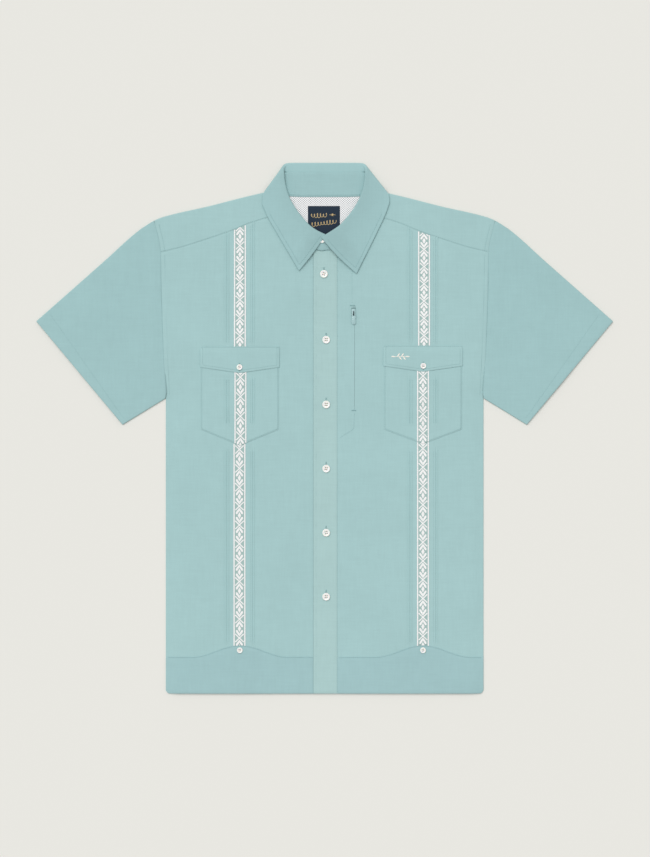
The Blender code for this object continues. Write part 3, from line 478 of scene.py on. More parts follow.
def worn(made, node=None, body="shirt"):
    """A finished piece is put under its body, and the CAD node that it stands for is hidden."""
    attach(made, body)
    if node:
        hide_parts(node)
    return made


def cut(name, points, cloth, slot="shirt_cloth", half=CLOTH_HALF, flat=True, **wall):
    """A sheet of cloth with the points at its middle, which stands for the CAD node of its name."""
    part = shell(points, half, flat=flat, **wall)
    return worn(piece(f"{name}_cloth", [(0, part)], [cloth]), name)


def sewn(name, parts, *threads):
    """The stitches of one sheet, as one piece."""
    return worn(piece(f"{name}_stitches", parts, threads))


def laid(made, width, length, rests_on, with_pieces=(), held="laid"):
    """Works out the area of a piece's cut, half that of its faces, because cloth laid flat isn't stretched;
    nothing uses it.
    """
    area = sum(face.area for face in made.data.polygons) / 2


# ---------------------------------------------------------------- materials

def node(tree, kind, inputs=None, **settings):
    """A new shader node; an input is a value or the socket that feeds it."""
    made = tree.nodes.new(kind)
    for key, value in settings.items():
        setattr(made, key, value)
    for socket, value in (inputs or {}).items():
        if isinstance(value, bpy.types.NodeSocket):
            tree.links.new(value, made.inputs[socket])
        else:
            made.inputs[socket].default_value = value
    return made


def new_material(name, roughness, **sockets):
    """A material with one Principled BSDF, and its object coordinates."""
    material = bpy.data.materials.new(name)
    material.use_nodes = True
    tree = material.node_tree
    shader = tree.nodes["Principled BSDF"]
    shader.inputs["Roughness"].default_value = roughness
    for socket, value in sockets.items():
        shader.inputs[socket.replace("_", " ").title()].default_value = value
    return material, tree, shader, node(tree, "ShaderNodeTexCoord").outputs["Object"]


def noise(tree, place, scale, detail=2.0, stretch=None):
    if stretch:
        place = node(tree, "ShaderNodeMapping", {"Vector": place, "Scale": stretch}).outputs[0]
    return node(tree, "ShaderNodeTexNoise", {"Vector": place, "Scale": scale, "Detail": detail}).outputs[0]


def scaled(tree, value, by, plus=0.0):
    return node(tree, "ShaderNodeMath", {0: value, 1: by, 2: plus}, operation="MULTIPLY_ADD").outputs[0]


def added(tree, *values):
    total = values[0]
    for value in values[1:]:
        total = node(tree, "ShaderNodeMath", {0: total, 1: value}, operation="ADD").outputs[0]
    return total


def shaded(tree, shader, colour, spread, factor):
    """The colour, darker and lighter by the spread as the factor runs from 0 to 1."""
    ends = [tuple(min(c * (1.0 + sign * spread), 1.0) for c in colour) + (1.0,) for sign in (-1, 1)]
    mixed = node(tree, "ShaderNodeMix", {0: factor, 6: ends[0], 7: ends[1]}, data_type="RGBA")
    tree.links.new(mixed.outputs[2], shader.inputs["Base Color"])


def bumped(tree, shader, height, strength, distance):
    bump = node(tree, "ShaderNodeBump", {"Height": height, "Strength": strength, "Distance": distance})
    tree.links.new(bump.outputs[0], shader.inputs["Normal"])


def weave(tree, place, period, turn=0.0):
    """Crossing yarns, so many metres apart, from 0 between them to 1 on top."""
    if turn:
        place = node(tree, "ShaderNodeMapping", {"Vector": place, "Rotation": (0.0, 0.0, turn)}).outputs[0]
    both = []
    for direction in ("X", "Y"):
        inputs = {"Vector": place, "Scale": WAVE_SCALE / period, "Distortion": 0.6, "Detail": 1.0,
                  "Detail Scale": 0.5}
        both.append(node(tree, "ShaderNodeTexWave", inputs, bands_direction=direction).outputs[1])
    return node(tree, "ShaderNodeMath", {0: both[0], 1: both[1]}, operation="MULTIPLY").outputs[0]


def poplin(name, colour, turn=0.0, painted_roll_shade=False):
    """Fine plain cotton: yarns, slubs along both of them, and slow changes of tone."""
    material, tree, shader, place = new_material(name, 0.82, sheen_weight=0.12, sheen_roughness=0.45)
    shader.inputs["Specular IOR Level"].default_value = 0.25
    yarns = weave(tree, place, 0.00055, turn)
    slow = noise(tree, place, 11.0, 3.0)
    cloudy = noise(tree, place, 60.0, 3.0)
    slubs = noise(tree, place, 420.0, 2.0, (1.0, 0.08, 1.0))
    picks = noise(tree, place, 420.0, 2.0, (0.08, 1.0, 1.0))
    parts = ((slow, 0.55, -0.275), (cloudy, 0.35, -0.175), (slubs, 0.5, -0.25), (picks, 0.5, -0.25),
             (yarns, 0.5, 0.375))
    factor = added(tree, *(scaled(tree, *part) for part in parts))
    # Painted shade: the higher the cloth lies, the darker it is painted, for the shade at the collar's roll
    if painted_roll_shade:
        height = node(tree, "ShaderNodeSeparateXYZ", {"Vector": place}).outputs[2]
        factor = added(tree, factor, scaled(tree, height, -ROLL_PAINTED_SHADE, ROLL_PAINTED_SHADE * ROLL_PAINTED_SHADE_Z))
    shaded(tree, shader, colour, 0.075, factor)
    height = added(tree, yarns, scaled(tree, slubs, 0.8), scaled(tree, picks, 0.8))
    bumped(tree, shader, height, 0.35, 0.00012)
    return material


def satin(name, colour, spread=0.08, roughness=0.5, sheen=0.1):
    """Thread or ribbon with fine fibres."""
    material, tree, shader, place = new_material(name, roughness, sheen_weight=sheen)
    shader.inputs["Specular IOR Level"].default_value = 0.3
    fibres = noise(tree, place, 900.0, 2.0)
    shaded(tree, shader, colour, spread, fibres)
    bumped(tree, shader, weave(tree, place, 0.0006), 0.25, 0.00008)
    return material


def ribbon(name, colour):
    """A flat woven ground for the embroidery."""
    material, tree, shader, place = new_material(name, 0.8, sheen_weight=0.1)
    shaded(tree, shader, colour, 0.1, weave(tree, place, 0.0009, math.pi / 4))
    bumped(tree, shader, weave(tree, place, 0.0009, math.pi / 4), 0.4, 0.00015)
    return material


def knit(name, colour):
    """A sporty warp knit with rows of small holes, painted grey as the shade seen through them."""
    material, tree, shader, place = new_material(name, 0.75, sheen_weight=0.1)
    split = node(tree, "ShaderNodeSeparateXYZ", {0: place})
    sines = []
    for axis, period in ((0, 0.0038), (1, 0.0034)):
        turned = scaled(tree, split.outputs[axis], 2.0 * math.pi / period)
        sines.append(node(tree, "ShaderNodeMath", {0: turned}, operation="SINE").outputs[0])
    dots = node(tree, "ShaderNodeMath", {0: sines[0], 1: sines[1]}, operation="MULTIPLY").outputs[0]
    holes = node(tree, "ShaderNodeMapRange", {0: dots, 1: 0.2, 2: 0.55, 3: 1.0, 4: 0.0},
                 interpolation_type="SMOOTHSTEP").outputs[0]
    mixed = node(tree, "ShaderNodeMix", {0: holes, 6: (*MESH_HOLE_PAINTED_SHADE, 1.0), 7: (*colour, 1.0)}, data_type="RGBA")
    tree.links.new(mixed.outputs[2], shader.inputs["Base Color"])
    bumped(tree, shader, holes, 0.8, 0.0004)
    return material


def enamel(name, colour, roughness=0.35, metallic=0.4):
    """Painted metal, a little worn."""
    material, tree, shader, place = new_material(name, roughness, metallic=metallic, coat_weight=0.3)
    shaded(tree, shader, colour, 0.12, noise(tree, place, 500.0, 3.0))
    bumped(tree, shader, noise(tree, place, 1500.0, 2.0), 0.1, 0.00005)
    return material


def pearl(name, colour):
    """Cast button resin with a soft pearl."""
    material, tree, shader, place = new_material(name, 0.28, coat_weight=0.5, coat_roughness=0.12)
    shader.inputs["Subsurface Weight"].default_value = 0.08
    shader.inputs["Subsurface Scale"].default_value = 0.001
    shaded(tree, shader, colour, 0.05, noise(tree, place, 260.0, 3.0, (1.0, 0.35, 1.0)))
    bumped(tree, shader, noise(tree, place, 700.0, 2.0), 0.06, 0.00005)
    return material


def paper(name, colour):
    """Matt studio paper."""
    material, tree, shader, place = new_material(name, 0.9)
    shader.inputs["Specular IOR Level"].default_value = 0.1
    shaded(tree, shader, colour, 0.004, noise(tree, place, 2.0, 2.0))
    return material


# ---------------------------------------------------------------- where the fronts lie

def leaned(out, y):
    """A panel's point, moved out with the armhole: fully at its side edge, not at all near the middle."""
    lean = ease((out - SIDE_FROM) / SIDE_DROP)
    return out + (curve(ARMHOLE_OUT, y) - HALF_CHEST) * lean


def front_mid(side, out, y):
    """The middle of the front's cloth, without its tucks."""
    across = np.sin(np.pi * np.clip((out - PLACKET_LEFT) / (HALF_CHEST - PLACKET_LEFT), 0.0, 1.0)) ** 2
    upwards = ease((250.0 - y) / 100.0) * (1.0 - 0.6 * ease((-330.0 - y) / 80.0))
    at_side = ease((out - SIDE_FROM) / SIDE_DROP) * ease((110.0 - y) / 60.0)
    calm = (1.0 - at_side) * ease((y - HEM_Y + 20.0) / 50.0)
    return FRONT_Z + FRONT_RISE * across * upwards - SIDE_SINK * at_side + relief(side * out, y) * calm


def tuck_height(across):
    """How far the tucks stand out. Each folded edge faces away from the band."""
    heights = [lines(TUCK_PROFILE, np.abs(across) - tuck) for tuck in TUCKS_OUT]
    return heights[0] + heights[1]


def tuck_columns():
    """Where the tucks need columns, from the middle of the band."""
    return {sign * (tuck + place) for sign in (-1, 1) for tuck in TUCKS_OUT for place, _ in TUCK_PROFILE}


def hem_y(out):
    """The hem, with its corner rounded at the side seam."""
    past = np.clip((out - (HALF_CHEST - HEM_ROUND)) / HEM_ROUND, 0.0, 1.0)
    return HEM_Y + HEM_ROUND * past * past


def front_top_y(out):
    """The front's upper edge: the neckline, then the yoke seam."""
    out = np.abs(out)
    return np.where(out < FRONT_NECK_Y[-1][0], curve(FRONT_NECK_Y, out), curve(YOKE_SEAM_Y, out))


def hem_band_top_y(across):
    """The hem band's upper edge, which rises to a round peak under the embroidered band."""
    share = np.minimum(np.abs(across) / HEM_PEAK_HALF, 1.0)
    return HEM_BAND_Y + HEM_PEAK * np.cos(np.pi * share / 2) ** 2


def flap_bottom_y(row, across):
    return row.flap_drop_y - FLAP_POINT * (1.0 - np.abs(across) / FLAP_HALF)


def pocket_bottom_y(row, across):
    return row.pocket_point_y + (POCKET_CORNER_Y - row.pocket_point_y) * np.abs(across) / POCKET_HALF


def on_front(row, out, y, layers, above=0.0):
    """Points over a front, so many layers up and so far above that layer's top."""
    out, y = np.broadcast_arrays(np.asarray(out, float), np.asarray(y, float))
    z = front_mid(row.side, out, y) + STEP_UP * layers + above
    return stacked(row.side * out, y, z)


def seam_path(row, out, y, layers=0):
    """A row of points for stitches that lie on a front."""
    return on_front(row, out, y, layers, STITCH_Z)


# ---------------------------------------------------------------- body panels

def make_back(cloth):
    """The back, on the floor, its creases standing up from it."""
    outs = refined([-HALF_CHEST, HALF_CHEST], 7.0)
    ys = refined([HEM_Y, HEM_Y + HEM_ROUND, ARMHOLE_OUT[0][0], BACK_SEAM_Y], 7.0)
    out, y = np.meshgrid(outs, ys)
    side, reach = np.sign(out), np.abs(out)
    hem = np.clip(1.0 - (y - HEM_Y) / 20.0, 0.0, 1.0) * (hem_y(reach) - HEM_Y)
    calm = ease((HALF_CHEST - reach) / 25.0) * ease((BACK_SEAM_Y - y) / 25.0) * ease((y - HEM_Y) / 25.0)
    z = BACK_Z + 0.3 * np.clip(waves(x=out + 40.0, y=y - 25.0) + 0.5, 0.0, 1.6) * calm
    back = cut("back", stacked(side * leaned(reach, y), y + hem, z), cloth)
    laid(back, 2 * ARMHOLE_OUT[3][1], BACK_SEAM_Y - HEM_Y, ["floor"])


def yoke_profile(side, out):
    """One line of the yoke from its back seam, round the shoulder fold and down to the front yoke seam."""
    neck_edge, next_edge = SHOULDER_Y[0][0], YOKE_SEAM_Y[1][0]
    edge = leaned(out, SHOULDER_Y[-1][1])
    fold_y = float(curve(SHOULDER_Y, edge)) - FOLD_INSET
    back = [(leaned(out, y), y, BACK_Z) for y in np.linspace(BACK_SEAM_Y, fold_y - 1.0, 12)]
    fold = []
    for angle in np.linspace(0.0, math.pi, FOLD_STEPS + 1):
        y = fold_y + FOLD_R * math.sin(angle)
        fold.append((leaned(out, y), y, BACK_Z + FOLD_R * (1.0 - math.cos(angle))))
    inner = max(0.0, 1.0 - (out - neck_edge) / (next_edge - neck_edge))
    seam_out = leaned(out, YOKE_SEAM_Y[-1][1]) + (NECK_SIDE_OUT[0][1] - neck_edge) * inner
    seam_y = float(curve(YOKE_SEAM_Y, seam_out))
    front = []
    count = 14
    for share in [0.03] + [i / count for i in range(1, count)] + [1.0 - 0.4 / (fold_y - seam_y), 1.0]:
        y = fold_y + (seam_y - fold_y) * share
        x = leaned(out, y if share < 0.99 else YOKE_SEAM_Y[-1][1])
        x = x + (curve(NECK_SIDE_OUT, y) - neck_edge) * inner
        calm = ease((fold_y - y) / 22.0)
        lift = 0.05 * ease((y - seam_y) / -6.0 + 1.0)
        front.append((x, y, FRONT_Z + relief(side * x, y) * calm + lift))
    return [(side * x, y, z) for x, y, z in back + fold + front]


def make_yoke(cloth, thread):
    """The yoke: a flat piece under the neck, and a wing that folds over each shoulder."""
    neck = [out for out, _ in BACK_NECK_Y[1:]]
    outs = refined([-out for out in neck] + neck, 6.0)
    share = refined([0.0, 1.0], 0.1, 0.01)
    out, step = np.meshgrid(outs, share)
    middle = stacked(out, BACK_SEAM_Y + (curve(BACK_NECK_Y, np.abs(out)) - BACK_SEAM_Y) * step, BACK_Z)
    parts = [(0, shell(middle, CLOTH_HALF, flat=True))]
    paths = []
    for side in (-1, 1):
        outs = refined([neck[-1], YOKE_SEAM_Y[1][0], SIDE_FROM, 236.0, HALF_CHEST], 4.0)
        wing = np.array([yoke_profile(side, out) for out in outs])
        if side < 0:
            wing = wing[::-1]
        parts.append((0, shell(wing.transpose(1, 0, 2), CLOTH_HALF)))
        low = wing[:, -1]
        paths.append(raised(low + unit(wing[:, -4] - low) * YOKE_STITCH, STITCH_Z))
        y = np.arange(274.0, 318.0, 2.0)
        out = curve(ARMHOLE_OUT, y) - ARMHOLE_STITCH
        calm = ease((curve(SHOULDER_Y, out) - FOLD_INSET - y) / 22.0)
        z = FRONT_Z + relief(side * out, y) * calm + STITCH_Z
        paths.append(stacked(side * out, y, z))
    yoke = worn(piece("yoke_cloth", parts, [cloth]), "yoke")
    seams = sewn("yoke", [(0, stitched(paths))], thread)
    laid(yoke, 2 * SHOULDER_Y[-1][0], YOKE_LONG, ["front_right_cloth", "front_left_cloth"], [seams], "folded")


def tuck_rows(row, spans, layers):
    """The rows of stitches beside the tucks of a front, over spans of y and no higher than the front."""
    rows = []
    for tuck in TUCKS_OUT:
        for sign in (-1, 1):
            out = row.band_out + sign * (tuck - TUCK_STITCH_IN)
            top_y = float(front_top_y(out)) - 1.0
            for low_y, high_y in spans:
                rows.append(seam_path(row, out, np.arange(low_y, min(high_y, top_y), 2.0), layers))
    return rows


def make_front(row, cloth, thread):
    """A front with its pin tucks; the left one has the slit of the zip and the slider's hole."""
    slit, hole = ZIP_SLIT / 2, SLIDER_HOLE / 2
    breaks = {row.centre_edge, FRONT_NECK_Y[-1][0], SIDE_FROM, HALF_CHEST - HEM_ROUND, HALF_CHEST}
    breaks |= {row.band_out + across for across in tuck_columns()}
    levels = {HEM_Y, HEM_Y + HEM_ROUND, FRONT_SQUARE_Y} | {y for y, _ in TUCK_SHOWS}
    if row.side > 0:
        breaks |= {SLIT_X + side * reach for side in (-1, 1) for reach in (slit, slit + 0.7)}
        breaks |= {ZIP_X + side * reach for side in (-1, 1) for reach in (hole, hole + 0.9)}
        levels |= {SLIT_BOTTOM_Y, SLIDER_HOLE_Y, ZIP_TOP_Y}
    outs = refined(breaks, 4.5)
    ys = refined(levels, 6.0)[:-2]
    shares = refined([0.0, 1.0], 0.09, 0.012)
    out, low = np.meshgrid(outs, ys)
    past = np.clip(1.0 - (low - HEM_Y) / 20.0, 0.0, 1.0)
    low = low + (hem_y(out) - HEM_Y) * past
    seam_out = leaned(outs, YOKE_SEAM_Y[-1][1])
    top = front_top_y(seam_out) + UNDER
    high = FRONT_SQUARE_Y + shares[:, None] * (top - FRONT_SQUARE_Y)[None]
    y = np.concatenate([low, high])
    out = np.broadcast_to(outs, y.shape)
    x = leaned(out, np.minimum(y, YOKE_SEAM_Y[-1][1]))
    tucks = tuck_height(out - row.band_out) * lines(TUCK_SHOWS, y)
    dip = DIP * ease((y - (top - 2 * UNDER)[None]) / UNDER)
    z = front_mid(row.side, out, y) + tucks - dip
    keep = None
    if row.side > 0:
        reach = np.abs(out - SLIT_X)
        inside = (y > SLIT_BOTTOM_Y - 4.0) & (y < ZIP_TOP_Y + 4.0)
        z = z + 0.06 * np.exp(-((reach - slit - 1.0) / 1.6) ** 2) * inside
        middle_x = (outs[1:] + outs[:-1]) / 2
        middle_y = (y[1:, :-1] + y[:-1, :-1]) / 2
        past = np.where(middle_y > SLIDER_HOLE_Y, np.abs(middle_x[None] - ZIP_X) - hole,
                        np.abs(middle_x[None] - SLIT_X) - slit)
        keep = (past > 0.0) | (middle_y < SLIT_BOTTOM_Y) | (middle_y > ZIP_TOP_Y)
    grid = stacked(row.side * x, y, z)
    front = cut(f"front_{row.name}", grid, cloth, keep=keep)

    y = np.arange(52.0, 272.0, 2.0)
    paths = [seam_path(row, curve(ARMHOLE_OUT, y) - ARMHOLE_STITCH, y)]
    faint = tuck_rows(row, FRONT_TUCK_ROWS, 0)
    if row.side > 0:
        pouch = np.array(POUCH)
        fine = np.linspace(0.0, len(pouch) - 1.0, 30)
        trail = [np.interp(fine, np.arange(len(pouch)), pouch[:, i]) for i in (0, 1)]
        paths.append(seam_path(row, trail[0], trail[1]))
        faint.append(seam_path(row, 42.4, np.arange(194.0, 252.0, 2.0)))
    parts = [(0, stitched(paths)), (0, stitched(faint, *TUCK_STITCH))]
    if row.side > 0:
        for x0, y0, x1, y1 in BAR_TACKS:
            xs = np.linspace(x0, x1, 19)
            a, b = (on_front(row, xs, end, 0, CLOTH_HALF + 0.15)
                    for end in (y0 - BAR_TACK_HALF, y1 + BAR_TACK_HALF))
            parts.append((0, strands(a, b, 0.5, 0.3)))
    seams = sewn(f"front_{row.name}", parts, thread)
    laid(front, HALF_CHEST - row.centre_edge + FRONT_TURNING, FRONT_TOP_Y - HEM_Y, ["back_cloth"], [seams])


def make_placket(cloth, thread, painted_shadow):
    """The strip down the centre, on both fronts, with its buttonholes and a painted shadow line along its
    right edge.
    """
    xs = refined([PLACKET_RIGHT, -16.0, 18.0, PLACKET_LEFT], 2.6)
    ys = refined([HEM_Y, FRONT_SQUARE_Y], 4.5)[:-1]
    x, low = np.meshgrid(xs, ys)
    shares = np.linspace(0.0, 1.0, 8)
    high = FRONT_SQUARE_Y + shares[:, None] * (front_top_y(xs) + UNDER - FRONT_SQUARE_Y)[None]
    y = np.concatenate([low, high])
    x = np.broadcast_to(xs, y.shape)
    pucker = 0.1 * np.sin(y * 0.42 + 1.3 * np.sin(y * 0.11)) * np.exp(-((x - PLACKET_LEFT) / 5.0) ** 2)
    beside = np.exp(-((x - PLACKET_RIGHT) / 6.0) ** 2)
    pucker = pucker + 0.16 * np.sin(y * 0.31 + 2.0 * np.sin(y * 0.07)) * beside
    lift = 0.5 * ease((PLACKET_RIGHT + 6.0 - x) / 6.0) - 0.85 * ease((x - PLACKET_LEFT + 3.0) / 3.0)
    z = placket_mid(x, y) + pucker + lift
    placket = cut("placket", stacked(x, y, z), cloth)

    y = np.arange(HEM_Y + 2.0, 273.0, 2.0)
    paths = [stacked(19.4, y, placket_mid(19.4, y) + CLOTH_HALF - 0.25)]
    y = np.arange(HEM_Y + 2.0, 262.0, 2.0)
    paths.append(stacked(-13.2, y, placket_mid(-13.2, y) + CLOTH_HALF + 0.03))
    parts = [(0, stitched(paths, *PLACKET_STITCH))]
    # A thin near-black tube under the right edge: a painted shadow line, not a cord
    y = np.arange(HEM_Y + 1.0, 268.0, 3.0)
    edge = stacked(PLACKET_RIGHT - 0.05, y, placket_mid(PLACKET_RIGHT, y) + 0.1)
    parts.append((1, tube(edge, 0.18, 6)))
    for hole_x, hole_y in [TOP_BUTTON] + [(BUTTON_X, y) for y in BUTTON_YS]:
        parts += buttonhole(hole_x, hole_y + 2.2, lambda x, y: placket_mid(x, y) + CLOTH_HALF)
    seams = sewn("placket", parts, thread, painted_shadow)
    below = ["front_left_cloth", "front_right_cloth"]
    laid(placket, PLACKET_LEFT - PLACKET_RIGHT, PLACKET_TOP_Y - HEM_Y, below, [seams])


def placket_mid(x, y):
    """The middle of the placket's cloth."""
    return FRONT_Z + STEP_UP + relief(x, y) * ease((y - HEM_Y + 20.0) / 50.0)


def buttonhole(x, y, top, long=14.5, wide=2.2):
    """Close bars on both sides of an upright slit, and one across each end."""
    parts = []
    ys = np.arange(y - long / 2, y + long / 2, 0.5)
    for side in (-1, 1):
        a, b = (stacked(at, ys, top(at, ys) + 0.12) for at in (x + side * 0.25, x + side * wide / 2))
        parts.append((0, strands(a, b, 0.5, 0.28)))
    for end in (-1, 1):
        ends = y + end * (long / 2 + 0.35 + 0.45 * np.arange(2))
        a, b = (stacked(x + reach, ends, top(x, ends) + 0.15) for reach in (-wide / 2, wide / 2))
        parts.append((0, strands(a, b, 0.5, 0.3)))
    return parts


def make_lining(cloth):
    """The mesh behind the neck, from under the stand down past where the fronts hide it."""
    share = refined([0.0, 1.0], 0.05, 0.006)
    out, step = np.meshgrid(refined([-LINING_HALF, LINING_HALF], 4.0), share)
    y = LINING_BOTTOM_Y + (curve(BACK_NECK_Y, np.abs(out)) + UNDER - LINING_BOTTOM_Y) * step
    z = LINING_Z + 0.15 * np.sin(out * 0.09 + 0.6) * np.sin(y * 0.07) + 0.6 * ease((step - 0.88) / 0.08)
    lining = cut("yoke_lining", stacked(out, y, z), cloth, "lining_mesh")
    laid(lining, 2 * LINING_HALF, LINING_LONG, ["yoke_cloth"])


def make_label(cloth, gold):
    """A woven label, sewn on at its top, with two rows of loops and a small star in place of any words."""
    centre = (LABEL_RIGHT + LABEL_LEFT) / 2
    x, y = np.meshgrid(refined([LABEL_RIGHT, LABEL_LEFT], 2.5, 0.3),
                       refined([LABEL_BOTTOM_Y, LABEL_TOP_Y], 2.5, 0.3))

    def mid(x, y):
        return LINING_Z + STEP_UP + 0.25 * np.cos((x - centre) * 0.11) * ease((LABEL_TOP_Y - y) / 20.0)

    label = cut("neck_label", stacked(x, y, mid(x, y)), cloth, "label_satin", 0.35)

    parts = []
    for row_y, x0, x1, high, rise in LOOP_ROWS:
        turn = np.linspace(0.0, 1.0, 260)
        swing = turn * (2.0 * math.pi * (x1 - x0) / LOOP_LONG)
        size = high * (0.62 + 0.38 * np.sin(turn * 5.0 + row_y) ** 2)
        xs = x0 + (x1 - x0) * turn + 1.5 * np.cos(swing) - 1.5
        ys = row_y + size * np.sin(swing) + rise * turn
        parts.append((0, tube(stacked(xs, ys, mid(xs, ys) + 0.45), 0.4, 6)))
    for angle in np.arange(4) * math.pi / 4:
        reach = STAR_LONG if angle == 0.0 else STAR_SHORT
        ends = []
        for sign in (-1, 1):
            x = np.array([STAR_X + sign * reach * math.cos(angle)])
            y = np.array([STAR_Y + sign * reach * math.sin(angle)])
            ends.append(stacked(x, y, mid(x, y) + 0.4))
        parts.append((0, strands(*ends, 0.9, 0.35)))
    marks = worn(piece("neck_label_motif", parts, [gold]))
    laid(label, LABEL_LEFT - LABEL_RIGHT, LABEL_TOP_Y - LABEL_BOTTOM_Y, ["yoke_lining_cloth"], [marks])


def sleeve_rings(side, shares):
    """Rings of points round the flattened sleeve, at shares of the way from the armhole to the cuff."""
    table = np.array(SLEEVE)
    run = np.concatenate([[0.0], np.cumsum(np.hypot(*np.diff(table[:, :2], axis=0).T))])
    at = np.array(shares) * run[-1]
    fields = {name: curve(np.c_[run, table[:, i]], at) for i, name in enumerate(SleeveRow._fields)}
    across_steps = refined([0.03, 0.97], 0.027, 0.005)
    rings = []
    for i in range(len(at)):
        row = SleeveRow(*(fields[name][i] for name in SleeveRow._fields))
        top, under = np.array((row.top_out, row.top_y)), np.array((row.under_out, row.under_y))
        across = under - top
        down = across / np.linalg.norm(across)

        def place(share, inwards=0.0):
            share = np.asarray(share, float)
            point = top + across * share[..., None] + down * np.asarray(inwards)[..., None]
            level = SLEEVE[0].top_y + (SLEEVE[0].under_y - SLEEVE[0].top_y) * share
            chord = SLEEVE[0].top_out + (SLEEVE[0].under_out - SLEEVE[0].top_out) * share
            point[..., 0] += (curve(ARMHOLE_OUT, level) - chord) * row.armhole_share + ARMHOLE_GAP
            return point

        upper = place(across_steps)
        calm = ease(np.minimum(across_steps, 1.0 - across_steps) / 0.09)
        high = SLEEVE_RISE * row.swell * np.sin(np.pi * across_steps) ** 2
        high = FRONT_Z + high + relief(side * upper[:, 0], upper[:, 1]) * calm
        if i == 0:
            upper[:, 0] -= UNDER + ARMHOLE_GAP
            high = high - DIP
        lower = place(across_steps[::-1])
        low = BACK_Z + 0.25 * calm * np.clip(waves(lower[:, 0] - 30.0, lower[:, 1]), 0.0, 1.0)
        angle = np.linspace(0.0, math.pi, FOLD_STEPS + 1)
        folds = []
        for share, towards in ((1.0, 1.0), (0.0, -1.0)):
            inwards = towards * (FOLD_R * np.sin(angle) - FOLD_INSET)
            point = place(np.full(len(angle), share), inwards)
            folds.append(stacked(point[:, 0], point[:, 1], BACK_Z + FOLD_R * (1.0 + towards * np.cos(angle))))
        ring = np.concatenate([stacked(upper[:, 0], upper[:, 1], high), folds[0],
                               stacked(lower[:, 0], lower[:, 1], low), folds[1]])
        ring[:, 0] *= side
        rings.append(ring)
    return np.array(rings), len(across_steps)


def make_sleeve(name, side, cloth, thread):
    """A flattened tube from the armhole to the cuff, folded along its top and its underside."""
    shares = np.concatenate([[0.0, 0.008], refined([0.02, 1.0], 0.024, 0.002)])
    rings = sleeve_rings(side, shares)[0]
    if side < 0:
        rings = rings[:, ::-1]
    sleeve = cut(name, rings[:, ::-1], cloth, flat=False, ring=True)
    cuff, count = sleeve_rings(side, [0.0, 1.0 - CUFF_STITCH / SLEEVE_LONG])
    lower = count + FOLD_STEPS + 1
    path = raised(cuff[1][:count], CLOTH_HALF + 0.03)
    under = raised(cuff[1][lower:lower + count], -CLOTH_HALF - 0.02)
    seams = sewn(name, [(0, stitched([path, under], *CUFF_ROW))], thread)
    laid(sleeve, *SLEEVE_CUT, ["floor"], [seams], "folded")


# ---------------------------------------------------------------- collar

def collar_stations(name, side):
    """One side of the collar at even stations: its fields, neck, roll and edge lines, and roll radius."""
    table = np.array(COLLAR, float)
    fields = {field: table[:, i] for i, field in enumerate(COLLAR_FIELDS)}
    for field, value in zip(LEAF_END_FIELDS, LEAF_END[name]):
        fields[field][-1] = value
    steps = np.hypot(np.diff(fields["roll_out"]), np.diff(fields["roll_y"]))
    steps = steps + np.hypot(np.diff(fields["neck_out"]), np.diff(fields["neck_y"])) + 2.0
    run = np.concatenate([[0.0], np.cumsum(steps)])
    at = refined([0.0, run[-1]], run[-1] / STATIONS, 0.8)[1:]
    at = np.concatenate([[0.0], at])
    row = {field: curve(np.c_[run, values], at) for field, values in fields.items()}
    lift = CLOSING_LIFT * row["shut"] * (side > 0)
    neck = stacked(side * row["neck_out"], row["neck_y"], row["neck_z"] + lift)
    roll = stacked(side * row["roll_out"], row["roll_y"], row["roll_z"] + lift)
    edge = stacked(side * row[f"{name}_out"], row[f"{name}_y"], row["edge_z"])
    return row, neck, roll, edge, row["roll_r"]


def collar_seam(turn):
    """Half the way between the edges of the stand and the fall; below 0 they overlap."""
    return (COLLAR_SEAM + (COLLAR_SEAM_AT_FOLD - COLLAR_SEAM) * np.sin(turn)) / 2


def fall_grid(name, side):
    """The fall's points, [profile, station], from the top of the stand round the roll to the outer edge."""
    row, neck, roll, edge, radius = collar_stations(name, side)
    plan = unit((roll - neck) * (1.0, 1.0, 0.0))
    turn = np.radians(row["turn"])[:, None]
    outwards = stacked(side * np.abs(plan[:, 1]), -side * plan[:, 0], 0.0)
    round_it = outwards * np.sin(turn) - np.array((0.0, 0.0, 1.0)) * np.cos(turn)
    start = neck + (roll - neck) * STAND_SHARE + plan * collar_seam(turn)
    centre = roll + (round_it - plan) * radius[:, None]
    first = centre - round_it * radius[:, None]
    profile = [start + (first - start) * share for share in (0.0, 0.08, 0.3, 0.55, 0.8)]
    for point, sunk in zip(profile, (0.45, 0.45, 0.25, 0.1, 0.0)):
        point[:, 2] -= sunk * np.cos(turn[:, 0] / 2) ** 2
    for angle in np.linspace(0.0, math.pi, 13):
        profile.append(centre + (plan * math.sin(angle) - round_it * math.cos(angle)) * radius[:, None])
    last = profile[-1]
    bow = unit(stacked(-side * (last[:, 1] - edge[:, 1]), -np.abs(edge[:, 0] - last[:, 0]), 0.0))
    bow = bow * (LEAF_BOW[name] * row["shut"] ** 3)[:, None]
    for share in list(np.linspace(0.04, 0.96, 24)) + [0.99, 1.0]:
        point = last + (edge - last) * share + bow * (4.0 * share * (1.0 - share))
        open_out = np.sin(np.radians(row["turn"]) / 2) ** 2
        steep = open_out * (1.0 - row["shut"] ** 0.5)
        fallen = steep * (1.0 - (1.0 - share) ** 1.5) + (1.0 - steep) * share ** 2
        point[:, 2] = last[:, 2] + (edge[:, 2] - last[:, 2]) * fallen
        point[:, 2] += EDGE_LIFT * share ** 2 * open_out
        profile.append(point)
    return np.array(profile)


